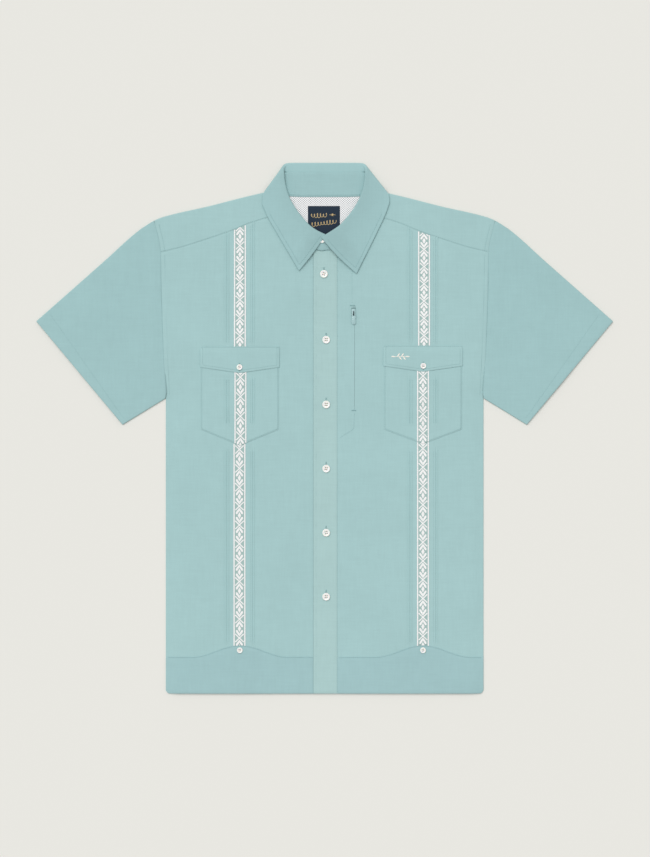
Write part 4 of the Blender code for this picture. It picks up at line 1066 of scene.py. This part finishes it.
def stand_grid(name, side):
    """The stand's points, [profile, station], from the neckline up, with its end past the centre front."""
    row, neck, roll = collar_stations(name, side)[:3]
    more = np.linspace(0.0, 1.0, 9)[1:, None]
    end = np.array((side * STAND_END_OUT, STAND_END_Y, neck[-1, 2]))
    top = np.array((side * (STAND_END_OUT + 1.0), STAND_END_TOP_Y, roll[-1, 2]))
    neck = np.concatenate([neck, neck[-1] + (end - neck[-1]) * more])
    roll = np.concatenate([roll, roll[-1] + (top - roll[-1]) * more])
    plan = unit((roll - neck) * (1.0, 1.0, 0.0))
    turn = np.radians(np.concatenate([row["turn"], np.full(8, 180.0)]))[:, None]
    top = neck + (roll - neck) * STAND_SHARE - plan * collar_seam(turn)
    sunk = (1.1 if side > 0 else 0.4) * np.concatenate([row["shut"], np.ones(8)])[:, None] * (0.0, 0.0, 1.0)
    shares = refined([0.0, 1.0], 0.12, 0.012)
    return np.array([neck + (top - neck) * share - sunk * (1.0 - share) ** 3 for share in shares])


def at_grid(grid, i, j):
    """Points of a grid at fractional rows and columns."""
    i, j = np.broadcast_arrays(np.clip(i, 0, grid.shape[0] - 1.001), np.clip(j, 0, grid.shape[1] - 1.001))
    low_i, low_j = np.floor(i).astype(int), np.floor(j).astype(int)
    u, v = (i - low_i)[..., None], (j - low_j)[..., None]
    first = grid[low_i, low_j] * (1 - v) + grid[low_i, low_j + 1] * v
    second = grid[low_i + 1, low_j] * (1 - v) + grid[low_i + 1, low_j + 1] * v
    return first * (1 - u) + second * u


def inset_index(lines_of_points, inset):
    """For each line of points, the fractional index that is so far back from its end."""
    found = []
    for points in lines_of_points:
        back = np.concatenate([[0.0], np.cumsum(np.linalg.norm(np.diff(points[::-1], axis=0), axis=1))])
        found.append(len(points) - 1 - np.interp(inset, back, np.arange(len(back))))
    return np.array(found)


def leaf_path(grid, inset):
    """A line over the fall, so far in from its outer edge and then from its front edge, up to the roll."""
    roll_end = 17
    rows = inset_index(grid.transpose(1, 0, 2), inset)
    columns = inset_index(grid, inset)
    last_column = columns[-3]
    stations = np.arange(0.0, last_column, 1.0)
    outer = at_grid(grid, np.interp(stations, np.arange(len(rows)), rows), stations)
    corner_row = np.interp(last_column, np.arange(len(rows)), rows)
    ups = np.arange(corner_row, roll_end, -1.0)
    front = at_grid(grid, ups, np.interp(ups, np.arange(len(columns)), columns))
    return np.concatenate([outer, front]), stations


def make_collar(fall_cloth, stand_cloth, thread):
    """The stand and the fall, each one sheet that is open at the centre front."""
    falls, stands, paths = [], [], []
    for name, side in (("right", -1), ("left", 1)):
        fall, stand = fall_grid(name, side), stand_grid(name, side)
        path, stations = leaf_path(fall, LEAF_STITCH)
        shown = np.concatenate([stations > LEAF_STITCH_FROM, np.ones(len(path) - len(stations), bool)])
        paths.append(raised(path[shown], COLLAR_HALF + 0.1))
        paths.append(raised(stand[1] * 0.94 + stand[-1] * 0.06, COLLAR_HALF + 0.06))
        falls.append(fall)
        stands.append(stand)
    fall = np.concatenate([falls[0][:, ::-1], falls[1][:, 1:]], axis=1)
    stand = np.concatenate([stands[0][:, ::-1], stands[1][:, 1:]], axis=1)
    fall_piece = cut("collar_fall", fall, fall_cloth, half=COLLAR_HALF, flat=False)
    stand_piece = cut("collar_stand", stand, stand_cloth, half=COLLAR_HALF, flat=False)
    seams = sewn("collar", [(0, stitched(paths))], thread)
    laid(fall_piece, *FALL_CUT, ["yoke_cloth"], [seams], "folded")
    laid(stand_piece, *STAND_CUT, ["yoke_cloth"])


# ---------------------------------------------------------------- what is sewn on the fronts

def panel(row, columns, levels, bottom, top, layers, tucks=None, puff=None):
    """Points of a panel on a front: columns from the band's middle, levels from its bottom to its top."""
    across, share = np.meshgrid(columns, levels)
    low, high = bottom(across), top(across)
    y = low + (high - low) * share
    high = layers(y) if callable(layers) else layers
    z = front_mid(row.side, row.band_out + across, y) + STEP_UP * high
    if tucks:
        z = z + tuck_height(across) * lines(tucks, y)
    if puff:
        z = z + puff(row, across, y)
    reach = np.abs(columns).max()
    sunk = 0.3 * (ease((np.abs(across) - reach + 2.0) / 2.0))
    return stacked(row.side * (row.band_out + across), y, z - sunk)


def pocket_puff(row, across, y):
    """How far the middle of the pocket stands off the front."""
    low = pocket_bottom_y(row, across)
    share = np.clip((y - low) / (POCKET_TOP_Y - low), 0.0, 1.0)
    return POCKET_PUFF * (1.0 - (across / POCKET_HALF) ** 2) * np.sin(np.pi * share) ** 2


def make_pocket(row, cloth, thread):
    """A pointed patch pocket, with the front's tucks carried over it."""
    columns = refined({-POCKET_HALF, 0.0, POCKET_HALF} | tuck_columns(), 3.6)
    levels = refined([0.0, 1.0], 0.035, 0.003)
    grid = panel(row, columns, levels, lambda a: pocket_bottom_y(row, a), lambda a: POCKET_TOP_Y + 0.0 * a,
                 1, POCKET_TUCK_SHOWS, pocket_puff)
    pocket = cut(f"pocket_{row.name}", grid, cloth)
    reach = POCKET_HALF - POCKET_STITCH
    across = np.concatenate([np.full(40, -reach), np.linspace(-reach, reach, 60), np.full(40, reach)])
    low = pocket_bottom_y(row, across) + POCKET_STITCH
    down, up = np.linspace(POCKET_TOP_Y, low[0], 40), np.linspace(low[-1], POCKET_TOP_Y, 40)
    y = np.concatenate([down, low[40:-40], up])
    edge = raised(seam_path(row, row.band_out + across, y, 1), -0.05)
    faint = [raised(path, 0.35) for path in tuck_rows(row, POCKET_TUCK_ROWS, 1)]
    seams = sewn(f"pocket_{row.name}", [(0, stitched([edge])), (0, stitched(faint, *TUCK_STITCH))], thread)
    laid(pocket, 2 * POCKET_HALF, POCKET_TOP_Y - row.pocket_point_y, [f"front_{row.name}_cloth"], [seams])


def flap_layers(row):
    """The flap is one layer up where it is sewn along its top, and two where it lies over the pocket."""
    return lambda y: 2.0 - ease((y - (row.flap_top_y - FLAP_SEWN)) / FLAP_SEWN)


def flap_puff(row, across, y):
    """How far the flap stands off the pocket, so that it clears the pocket's middle and the band."""
    below = ease((row.flap_top_y - y) / 14.0)
    return FLAP_PUFF * below * (1.0 - 0.6 * (across / FLAP_HALF) ** 2)


def make_flap(row, cloth, thread):
    """The pocket's flap, with a shallow point and a buttonhole."""
    columns = refined([-FLAP_HALF, 0.0, FLAP_HALF], 3.0)
    levels = refined([0.0, 1.0], 0.06, 0.012)
    layers = flap_layers(row)
    grid = panel(row, columns, levels, lambda a: flap_bottom_y(row, a), lambda a: row.flap_top_y + 0.0 * a,
                 layers, None, flap_puff)
    flap = cut(f"flap_{row.name}", grid, cloth)

    reach = FLAP_HALF - FLAP_STITCH
    across = np.concatenate([np.full(14, -reach), np.linspace(-reach, reach, 60), np.full(14, reach)])
    low = flap_bottom_y(row, across) + FLAP_STITCH
    top = row.flap_top_y - 1.6
    y = np.concatenate([np.linspace(top, low[0], 14), low[14:-14], np.linspace(low[-1], top, 14)])
    sewn_across = np.linspace(-FLAP_HALF + 1.0, FLAP_HALF - 1.0, 60)
    paths = []
    for across, y in ((across, y), (sewn_across, np.full(60, row.flap_top_y - 1.3))):
        path = seam_path(row, row.band_out + across, y, layers(y))
        path[:, 2] += flap_puff(row, across, y)
        paths.append(path)
    parts = [(0, stitched(paths[:1], *FLAP_ROW)), (0, stitched(paths[1:]))]
    hole_x = row.side * (row.band_out + FLAP_BUTTON_IN)
    hole_y = float(flap_bottom_y(row, 0.0)) + FLAP_BUTTON_UP

    def top_z(x, y):
        return on_front(row, np.abs(x), y, 2.0, CLOTH_HALF + FLAP_PUFF)[..., 2]

    parts += buttonhole(hole_x, hole_y, top_z, 11.0, 2.0)
    seams = sewn(f"flap_{row.name}", parts, thread)
    drop = row.flap_top_y - row.flap_drop_y + FLAP_POINT
    laid(flap, 2 * FLAP_HALF, drop, [f"pocket_{row.name}_cloth"], [seams])


def make_flap_motif(row, thread):
    """A small embroidered sprig on one flap: a stem with a bud at each end and two leaves."""
    (centre_x, centre_y), half = SPRIG, SPRIG_HALF
    layers = flap_layers(row)

    def lift(x, y):
        x, y = np.atleast_1d(x).astype(float), np.atleast_1d(y).astype(float)
        return raised(seam_path(row, x, y, layers(y)), FLAP_PUFF)

    parts = []
    stem = np.linspace(-half, half, 33)
    stem_x, stem_y = centre_x + stem, centre_y + 0.05 * stem
    stem_ends = lift(stem_x - 0.6, stem_y - 0.35), lift(stem_x + 0.6, stem_y + 0.35)
    parts.append((0, strands(*stem_ends, 0.8, 0.35)))
    for start, angle in SPRIG_LEAVES:
        turn = math.radians(angle)
        along, aside = np.array((math.cos(turn), math.sin(turn))), np.array((-math.sin(turn), math.cos(turn)))
        step = np.linspace(0.3, 6.0, 12)
        fat = 1.05 * np.sin(np.pi * np.clip(step / 6.4, 0.0, 1.0)) ** 0.7 + 0.15
        base = np.array((centre_x + start, centre_y)) + along * step[:, None]
        a, b = base - aside * fat[:, None], base + aside * fat[:, None]
        parts.append((0, strands(lift(a[:, 0], a[:, 1]), lift(b[:, 0], b[:, 1]), 0.7, 0.3)))
    return worn(piece("flap_motif", parts, [thread]))


def make_hem_band(row, cloth, thread):
    """The curved band along the hem of one front, from the placket to the side seam."""
    centre = (PLACKET_LEFT if row.side > 0 else -PLACKET_RIGHT) - 1.5
    outs = refined([centre, SIDE_FROM, HALF_CHEST - HEM_ROUND, HALF_CHEST], 4.0)
    across, share = np.meshgrid(outs - row.band_out, refined([0.0, 1.0], 0.09, 0.008))
    out = row.band_out + across
    low, high = hem_y(out), hem_band_top_y(across)
    y = low + (high - low) * share
    edge = 0.45 * ease((share - 0.93) / 0.07)
    under = 0.5 * ease((centre + 3.0 - out) / 3.0)
    z = front_mid(row.side, out, y) + STEP_UP - edge - under
    band = cut(f"hem_band_{row.name}", stacked(row.side * out, y, z), cloth)
    across = np.arange(centre + 3.0, HALF_CHEST - 1.0, 2.0) - row.band_out
    path = seam_path(row, row.band_out + across, hem_band_top_y(across) - HEM_STITCH, 1)
    seams = sewn(f"hem_band_{row.name}", [(0, stitched([path]))], thread)
    laid(band, HALF_CHEST - centre, HEM_BAND_Y + HEM_PEAK - HEM_Y, [f"front_{row.name}_cloth"], [seams])


def arm_threads(arm, stretch, pitch=0.5):
    """Short threads across one arm of the motif."""
    start, end = np.array((arm.x0, arm.y0 * stretch)), np.array((arm.x1, arm.y1 * stretch))
    long = np.linalg.norm(end - start)
    along = (end - start) / long
    middle = start + along * np.arange(0.0, long, pitch)[:, None]
    aside = np.array((-along[1], along[0])) * arm.wide / 2
    return middle - aside, middle + aside


def chevron_threads(stretch):
    """Level threads for the two pointed chevrons of one repeat, one above the diamond and one below it."""
    y = np.arange(CHEVRON_TIP - 0.3, CHEVRON_END, -0.45)
    outer = np.minimum((CHEVRON_TIP - y) * CHEVRON_SPREAD, CHEVRON_WIDE) + 0.2
    inner = np.maximum((CHEVRON_CROTCH - y) * CHEVRON_INNER, 0.0)
    found = []
    for level in (y * stretch, (-MOTIF_LONG - y) * stretch):
        for side in (-1, 1):
            found.append((np.stack([side * (inner - 0.1), level], 1), np.stack([side * outer, level], 1)))
    return found


def motif_threads(long):
    """The threads of one whole repeat, so long, from the middle of its cross down."""
    stretch = long / MOTIF_LONG
    found = [arm_threads(arm, stretch) for arm in ARMS] + chevron_threads(stretch)
    y = np.arange(-DIAMOND_HALF_H + 0.2, DIAMOND_HALF_H, 0.5)
    half = DIAMOND_HALF_W * (1.0 - np.abs(y) / DIAMOND_HALF_H) + 0.2
    y = (y + DIAMOND_Y) * stretch
    found.append((np.stack([-half, y], 1), np.stack([half, y], 1)))
    return np.concatenate([a for a, _ in found]), np.concatenate([b for _, b in found])


def make_bands(row, ground, thread):
    """The embroidered ribbon, in three stretches: above the flap, on the pocket and below it."""
    top = float(np.max(front_top_y(row.band_out + np.array((-RIBBON_HALF, RIBBON_HALF)))))
    stretches = (
        ("upper", 0, row.flap_top_y - 1.0, top + 8.0),
        ("pocket", 1, row.pocket_point_y, row.flap_drop_y - FLAP_POINT + 1.5),
        ("lower", 0, float(hem_band_top_y(0.0)) - 2.0, row.pocket_point_y + 3.0),
    )
    for part, layers, low_y, high_y in stretches:
        long, cross_y, stray = REPEATS[row.name, part]
        centre = row.band_out + stray

        def ceiling(across):
            return front_top_y(centre + across) - 0.2 if part == "upper" else high_y + 0.0 * across

        def cellar(across):
            if part == "lower":
                return hem_band_top_y(stray + across) - 1.0
            return pocket_bottom_y(row, stray + across) + 0.4 if part == "pocket" else low_y + 0.0 * across

        def placed(across, y, above):
            puff = pocket_puff(row, stray + across, y) if part == "pocket" else 0.0
            return on_front(row, centre + across, y, layers, CLOTH_HALF + above + puff)

        across, share = np.meshgrid(refined([-RIBBON_HALF, RIBBON_HALF], 2.5, 0.3), np.linspace(0.0, 1.0, 80))
        y = cellar(across) + (ceiling(across) - cellar(across)) * share
        parts = [(0, shell(placed(across, y, 0.1), 0.2, flat=True))]

        cut_a, cut_b = motif_threads(long)
        highest = math.ceil((high_y - cross_y) / long) + 1
        lowest = math.floor((low_y - cross_y) / long)
        starts, ends = [], []
        for number in range(lowest, highest + 1):
            shift = np.array((0.0, cross_y + long * number))
            starts.append(cut_a + shift)
            ends.append(cut_b + shift)
        ys = np.arange(low_y - 6.0, high_y, 0.5)
        for sign in (-1, 1):
            for ends_of, reach in ((starts, -BORDER_WIDE / 2), (ends, BORDER_WIDE / 2)):
                ends_of.append(np.stack([np.full(len(ys), sign * BORDER_OUT + reach), ys], 1))
        a, b = np.concatenate(starts), np.concatenate(ends)
        middle = (a + b) / 2
        across = middle[:, 0] * row.side
        inside = (middle[:, 1] > cellar(across) + 0.2) & (middle[:, 1] < ceiling(across) - 0.2)
        threads = [placed(p[inside, 0] * row.side, p[inside, 1], 0.36) for p in (a, b)]
        parts.append((1, strands(threads[0], threads[1])))
        name = f"band_{row.name}_{part}"
        worn(piece(f"{name}_thread", parts, [ground, thread]), name)


# ---------------------------------------------------------------- buttons

def button_mesh():
    """A turned disc with a rounded rim and a dished middle, with four holes cut through it, 12 mm across."""
    radius, thick, steps = BUTTON_D / 2, BUTTON_THICK, 64
    profile = ((0.0, 0.0), (0.62, 0.0), (0.84, 0.05), (0.95, 0.28), (1.0, 0.55), (0.985, 0.78), (0.94, 0.94),
               (0.87, 1.0), (0.79, 0.97), (0.73, 0.86), (0.68, 0.77), (0.62, 0.74), (0.3, 0.72), (0.0, 0.72))
    shape = bmesh.new()
    verts = [shape.verts.new(Vector((reach * radius, 0.0, high * thick)) * MM) for reach, high in profile]
    edges = [shape.edges.new(pair) for pair in zip(verts, verts[1:])]
    bmesh.ops.spin(shape, geom=verts + edges, axis=(0, 0, 1), cent=(0, 0, 0), angle=2 * math.pi, steps=steps,
                   use_duplicate=False)
    bmesh.ops.remove_doubles(shape, verts=shape.verts, dist=1e-6)
    bmesh.ops.recalc_face_normals(shape, faces=shape.faces)
    disc_mesh = bpy.data.meshes.new("button_disc")
    shape.to_mesh(disc_mesh)
    shape.free()
    disc = linked("button_disc", disc_mesh)
    pins = bmesh.new()
    for i in range(4):
        turn = math.pi / 4 + math.pi / 2 * i
        made = bmesh.ops.create_cone(pins, cap_ends=True, segments=20, radius1=BUTTON_HOLE_D / 2 * MM,
                                     radius2=BUTTON_HOLE_D / 2 * MM, depth=3 * thick * MM)
        away = Vector((math.cos(turn), math.sin(turn), 0.0)) * BUTTON_HOLE_OUT * MM
        bmesh.ops.translate(pins, verts=made["verts"], vec=away)
    pin_mesh = bpy.data.meshes.new("button_pins")
    pins.to_mesh(pin_mesh)
    pins.free()
    cutter = linked("button_pins", pin_mesh)
    drilled = disc.modifiers.new("holes", "BOOLEAN")
    drilled.operation = "DIFFERENCE"
    drilled.object = cutter
    bpy.context.view_layer.update()
    graph = bpy.context.evaluated_depsgraph_get()
    result = bpy.data.meshes.new_from_object(disc.evaluated_get(graph))
    for temporary in (disc, cutter):
        bpy.data.objects.remove(temporary)
    return result


def make_button(name, shared, x, y, z, diameter, turn, pearl_finish, thread):
    """One button, its underside at z, sewn on with two bars of thread."""
    size = diameter / BUTTON_D
    mesh_data = shared.copy()
    mesh_data.name = f"{name}_pearl"
    mesh_data.materials.clear()
    mesh_data.materials.append(pearl_finish)
    place = Matrix.Translation(Vector((x, y, z)) * MM) @ Matrix.Rotation(turn, 4, "Z") @ Matrix.Scale(size, 4)
    mesh_data.transform(place)
    mesh_data.shade_smooth()
    mesh_data.set_sharp_from_angle(angle=math.radians(50.0))
    worn(linked(f"{name}_pearl", mesh_data), name)

    reach = BUTTON_HOLE_OUT * size * math.sqrt(0.5)
    top = z + (BUTTON_THICK * 0.72 + 0.12) * size
    starts, ends = [], []
    for lane in (-1, 1):
        for beside in (-0.2, 0.2):
            aside = (lane * reach + beside) * np.array((-math.sin(turn), math.cos(turn)))
            along = reach * 1.12 * np.array((math.cos(turn), math.sin(turn)))
            starts.append((x + aside[0] - along[0], y + aside[1] - along[1], top))
            ends.append((x + aside[0] + along[0], y + aside[1] + along[1], top))
    parts = [(0, strands(np.array(starts), np.array(ends), 0.4, 0.26))]
    shank = np.array([(x, y, z - 0.9), (x, y, z - 0.1)])
    ring = 2 * math.pi * np.arange(8) / 8
    disc = np.stack([np.cos(ring), np.sin(ring), 0 * ring], 1) * 1.4 * size
    verts = np.concatenate([shank[0] + disc, shank[1] + disc])
    faces = [(i, (i + 1) % 8, 8 + (i + 1) % 8, 8 + i) for i in range(8)]
    parts.append((0, (verts, np.array(faces + [(0, 7, 6, 5), (0, 5, 4, 3), (0, 3, 2, 1),
                                              (8, 9, 10, 11), (8, 11, 12, 13), (8, 13, 14, 15)]))))
    worn(piece(f"{name}_thread", parts, [thread]))


def make_buttons(pearl_finish, thread):
    """Six buttons down the placket, one on the stand, and one on each flap and each hem band."""
    shared = button_mesh()
    sit = CLOTH_HALF + 0.75
    places = [TOP_BUTTON] + [(BUTTON_X, y) for y in BUTTON_YS]
    turns = RNG.uniform(-0.3, 0.3, 11)
    for number, (x, y) in enumerate(places, start=1):
        z = float(placket_mid(x, y)) + sit
        make_button(f"button_{number}", shared, x, y, z, BUTTON_D, turns[number], pearl_finish, thread)
    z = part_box("button_collar")[0].z / MM
    make_button("button_collar", shared, *COLLAR_BUTTON, z, COLLAR_BUTTON_D, turns[7], pearl_finish, thread)
    for row in FRONTS:
        out, y = row.band_out + FLAP_BUTTON_IN, float(flap_bottom_y(row, 0.0)) + FLAP_BUTTON_UP
        z = float(front_mid(row.side, out, y)) + 2 * STEP_UP + FLAP_PUFF + sit
        x, turn = row.side * out, turns[8 + row.side]
        make_button(f"button_flap_{row.name}", shared, x, y, z, SMALL_BUTTON_D, turn, pearl_finish, thread)
        y = float(hem_band_top_y(0.0)) - HEM_BUTTON_UP
        z = float(front_mid(row.side, row.band_out, y)) + STEP_UP + sit
        x, turn = row.side * row.band_out, turns[8 - row.side]
        make_button(f"button_hem_{row.name}", shared, x, y, z, SMALL_BUTTON_D, turn, pearl_finish, thread)


# ---------------------------------------------------------------- zip

def make_tape(cloth, teeth):
    """The tape behind the slit, with its coil."""
    x, y = np.meshgrid(refined([ZIP_X - TAPE_HALF, ZIP_X + TAPE_HALF], 3.0, 0.3),
                       refined([ZIP_BOTTOM_Y - TAPE_PAST, ZIP_TOP_Y + TAPE_PAST], 5.0, 0.3))
    tape = cut("zip_tape", stacked(x, y, TAPE_Z + 0 * x), cloth, half=0.3)
    ys = np.arange(SLIT_BOTTOM_Y, SLIDER_Y0, COIL_PITCH)
    coil_z = TAPE_Z + 0.5
    starts, ends = stacked(ZIP_X - COIL_HALF, ys, coil_z), stacked(ZIP_X + COIL_HALF, ys + 0.4, coil_z)
    coil = worn(piece("zip_coil", [(0, strands(starts, ends, 0.75, 0.5))], [teeth]))
    laid(tape, 2 * TAPE_HALF, ZIP_TOP_Y - ZIP_BOTTOM_Y + 2 * TAPE_PAST, ["back_cloth"], [coil])


def bevelled(name, shape, width, material, node_name, body):
    """A hard piece from a bmesh in millimetres, its edges rounded."""
    bmesh.ops.recalc_face_normals(shape, faces=shape.faces)
    edges = [e for e in shape.edges if len(e.link_faces) == 2 and e.calc_face_angle(0.0) > 0.35]
    bmesh.ops.bevel(shape, geom=edges, offset=width, segments=3, profile=0.5, affect="EDGES",
                    clamp_overlap=True)
    bmesh.ops.scale(shape, vec=(MM, MM, MM), verts=shape.verts)
    mesh_data = bpy.data.meshes.new(name)
    shape.to_mesh(mesh_data)
    shape.free()
    mesh_data.materials.append(material)
    mesh_data.shade_smooth()
    mesh_data.set_sharp_from_angle(angle=math.radians(40.0))
    return worn(linked(name, mesh_data), node_name, body)


def extruded(shape, outline, holes, across):
    """Adds a plate to a bmesh: an outline of points with holes, moved across by a vector."""
    edges = []
    for loop in [outline] + list(holes):
        verts = [shape.verts.new(Vector(point)) for point in loop]
        edges += [shape.edges.new(pair) for pair in zip(verts, verts[1:] + verts[:1])]
    filled = bmesh.ops.triangle_fill(shape, use_beauty=True, use_dissolve=True, edges=edges)
    faces = [item for item in filled["geom"] if isinstance(item, bmesh.types.BMFace)]
    pulled = bmesh.ops.extrude_face_region(shape, geom=faces)
    moved = [item for item in pulled["geom"] if isinstance(item, bmesh.types.BMVert)]
    bmesh.ops.translate(shape, verts=moved, vec=across)


def make_slider(paint, bridge_painted_shade):
    """The slider's plate, waisted towards its tail, with a bridge for the pull."""
    half, tail = SLIDER_W / 2, SLIDER_W / 2 - 0.9
    base = LINING_Z + 0.8
    shape = bmesh.new()
    right = [(tail, SLIDER_Y0), (half, SLIDER_Y0 + 4.0), (half, SLIDER_Y1 - 1.6), (half - 1.3, SLIDER_Y1)]
    plan = [(-tail, SLIDER_Y0)] + right + [(-x, y) for x, y in right[:0:-1]]
    extruded(shape, [(ZIP_X + x, y, base) for x, y in plan], [], (0.0, 0.0, SLIDER_TOP_Z - base))
    bevelled("zip_slider_plate", shape, 0.35, paint, "zip_slider", "shirt")

    # The bridge is a real part; its near-black is painted shade for the dark gaps beside it
    roof = SLIDER_TOP_Z + BRIDGE_OPEN
    front, behind = PIVOT_Y - BRIDGE_HALF, PIVOT_Y + BRIDGE_HALF
    foot, crown = SLIDER_TOP_Z - 0.4, roof + BRIDGE_LEG
    side_view = [(front, foot), (front + BRIDGE_LEG, foot), (front + BRIDGE_LEG, roof - 0.3),
                 (front + BRIDGE_LEG + 0.3, roof), (behind - BRIDGE_LEG - 0.3, roof),
                 (behind - BRIDGE_LEG, roof - 0.3), (behind - BRIDGE_LEG, foot), (behind, foot),
                 (behind, roof + 0.35), (behind - 0.6, crown), (front + 0.6, crown), (front, roof + 0.35)]
    shape = bmesh.new()
    start = ZIP_X - BRIDGE_W / 2
    extruded(shape, [(start, y, z) for y, z in side_view], [], (BRIDGE_W, 0.0, 0.0))
    bevelled("zip_slider_bridge", shape, 0.18, bridge_painted_shade, None, "shirt")


def make_pull(paint):
    """The pull: a flat tab with a window at its head, riding on its own body."""
    half, window = PULL_W / 2, PULL_WINDOW_HALF
    head, tail = PULL_BAR / 2, -PULL_LONG
    tip = [(-half * math.cos(t), tail + half - half * math.sin(t)) for t in np.linspace(0.0, math.pi, 15)]
    outer = [(half - 0.8, head), (-half + 0.8, head), (-half, head - 1.6)] + tip + [(half, head - 1.6)]
    inner = [(window, -PULL_BAR / 2), (-window, -PULL_BAR / 2), (-window, -PULL_WINDOW_LONG),
             (window, -PULL_WINDOW_LONG)]
    low = PIVOT_Z - PULL_THICK / 2
    shape = bmesh.new()
    loops = [[(ZIP_X + x, PIVOT_Y + y, low) for x, y in loop] for loop in (outer, inner)]
    extruded(shape, loops[0], loops[1:], (0.0, 0.0, PULL_THICK))
    bevelled("zip_pull_tab", shape, 0.16, paint, "zip_pull", "zip_pull")
    shape = bmesh.new()
    ridge = [(ZIP_X - 1.6, -15.2), (ZIP_X + 1.6, -15.2), (ZIP_X + 1.6, -6.2), (ZIP_X - 1.6, -6.2)]
    foot = PIVOT_Z + PULL_THICK / 2 - 0.05
    extruded(shape, [(x, PIVOT_Y + y, foot) for x, y in ridge], [], (0.0, 0.0, 0.15))
    bevelled("zip_pull_ridge", shape, 0.06, paint, None, "zip_pull")


# ---------------------------------------------------------------- studio

def make_studio(floor_finish):
    """A plain floor, a soft light from the upper left, an even sky, and the camera straight above."""
    mesh_data = bpy.data.meshes.new("floor")
    corners = [(x * FLOOR_REACH, y * FLOOR_REACH, 0.0) for x, y in ((-1, -1), (1, -1), (1, 1), (-1, 1))]
    mesh_data.from_pydata(corners, [], [(0, 1, 2, 3)])
    mesh_data.materials.append(floor_finish)
    linked("floor", mesh_data)

    world = bpy.data.worlds.new("studio")
    world.use_nodes = True
    sky = world.node_tree.nodes["Background"]
    sky.inputs["Color"].default_value = (1.0, 1.0, 1.0, 1.0)
    sky.inputs["Strength"].default_value = SKY_STRENGTH
    bpy.context.scene.world = world

    light = bpy.data.lights.new("key", "SUN")
    light.energy = SUN_STRENGTH
    light.angle = math.radians(SUN_ANGLE)
    linked("key", light).rotation_euler = Vector(SUN_FROM).to_track_quat("Z", "Y").to_euler()

    camera_data = bpy.data.cameras.new("camera")
    camera_data.lens = LENS
    camera_data.sensor_width = 36.0
    camera_data.clip_end = 50.0
    camera = linked("camera", camera_data)
    camera.location = Vector((*VIEW_CENTRE, CAMERA_HEIGHT)) * MM
    bpy.context.scene.camera = camera
    bpy.context.scene.view_settings.view_transform = "Standard"


# ---------------------------------------------------------------- the shirt

def make_shirt():
    """Every piece of the shirt, from the floor up."""
    # One cloth in lit and shaded copies: the sleeve, collar and hem poplins carry painted shade, and the
    # placket's carries painted light
    cloth = poplin("body_poplin", TEAL)
    turned = poplin("sleeve_poplin_painted_shade", TEAL_SLEEVE_PAINTED_SHADE, math.radians(40.0))
    collar_cloth_painted_shade = poplin("collar_poplin_painted_shade", TEAL_COLLAR_PAINTED_SHADE)
    placket_cloth_painted_light = poplin("placket_poplin_painted_light", TEAL_PLACKET_PAINTED_LIGHT)
    hem_cloth_painted_shade = poplin("hem_poplin_painted_shade", TEAL_HEM_PAINTED_SHADE)
    seam_thread = satin("seam_thread", TEAL_THREAD, 0.06, 0.7)
    white_thread = satin("embroidery_thread", WHITE, 0.04, 0.5)
    ribbon_ground = ribbon("ribbon_ground", RIBBON)
    label_cloth = satin("label_weave", NAVY, 0.2, 0.85, 0.0)
    gold = satin("label_thread", GOLD, 0.12, 0.5)
    resin = pearl("button_resin", PEARL)
    sewing = satin("button_thread", BEIGE, 0.08, 0.7)
    paint = enamel("zip_paint", ENAMEL_TEAL, 0.5, 0.0)
    # The bridge's metal is painted near-black as shade
    bridge_painted_shade = enamel("zip_bridge_painted_shade", METAL_PAINTED_SHADE, 0.4, 0.8)

    make_back(cloth)
    make_yoke(cloth, seam_thread)
    make_lining(knit("lining_knit", LINEN))
    make_label(label_cloth, gold)
    make_sleeve("sleeve_right", -1, turned, seam_thread)
    make_sleeve("sleeve_left", 1, turned, seam_thread)
    # The fall's poplin carries painted shade at its roll; the placket's near-black tube is a painted shadow
    # line
    make_collar(poplin("collar_fall_poplin_painted_shade", TEAL_COLLAR_PAINTED_SHADE, 0.0, True), collar_cloth_painted_shade, seam_thread)
    make_placket(placket_cloth_painted_light, seam_thread, satin("edge_painted_shadow", TEAL_PAINTED_SHADOW, 0.06, 0.8, 0.0))
    for row in FRONTS:
        make_front(row, cloth, seam_thread)
        make_pocket(row, cloth, seam_thread)
        make_flap(row, cloth, seam_thread)
        make_hem_band(row, hem_cloth_painted_shade, seam_thread)
        make_bands(row, ribbon_ground, white_thread)
    make_flap_motif(FRONTS[1], satin("motif_thread", CREAM, 0.04, 0.5))
    make_buttons(resin, sewing)
    make_tape(cloth, seam_thread)
    make_slider(paint, bridge_painted_shade)
    make_pull(paint)


make_shirt()
make_studio(paper("floor_paper", FLOOR))
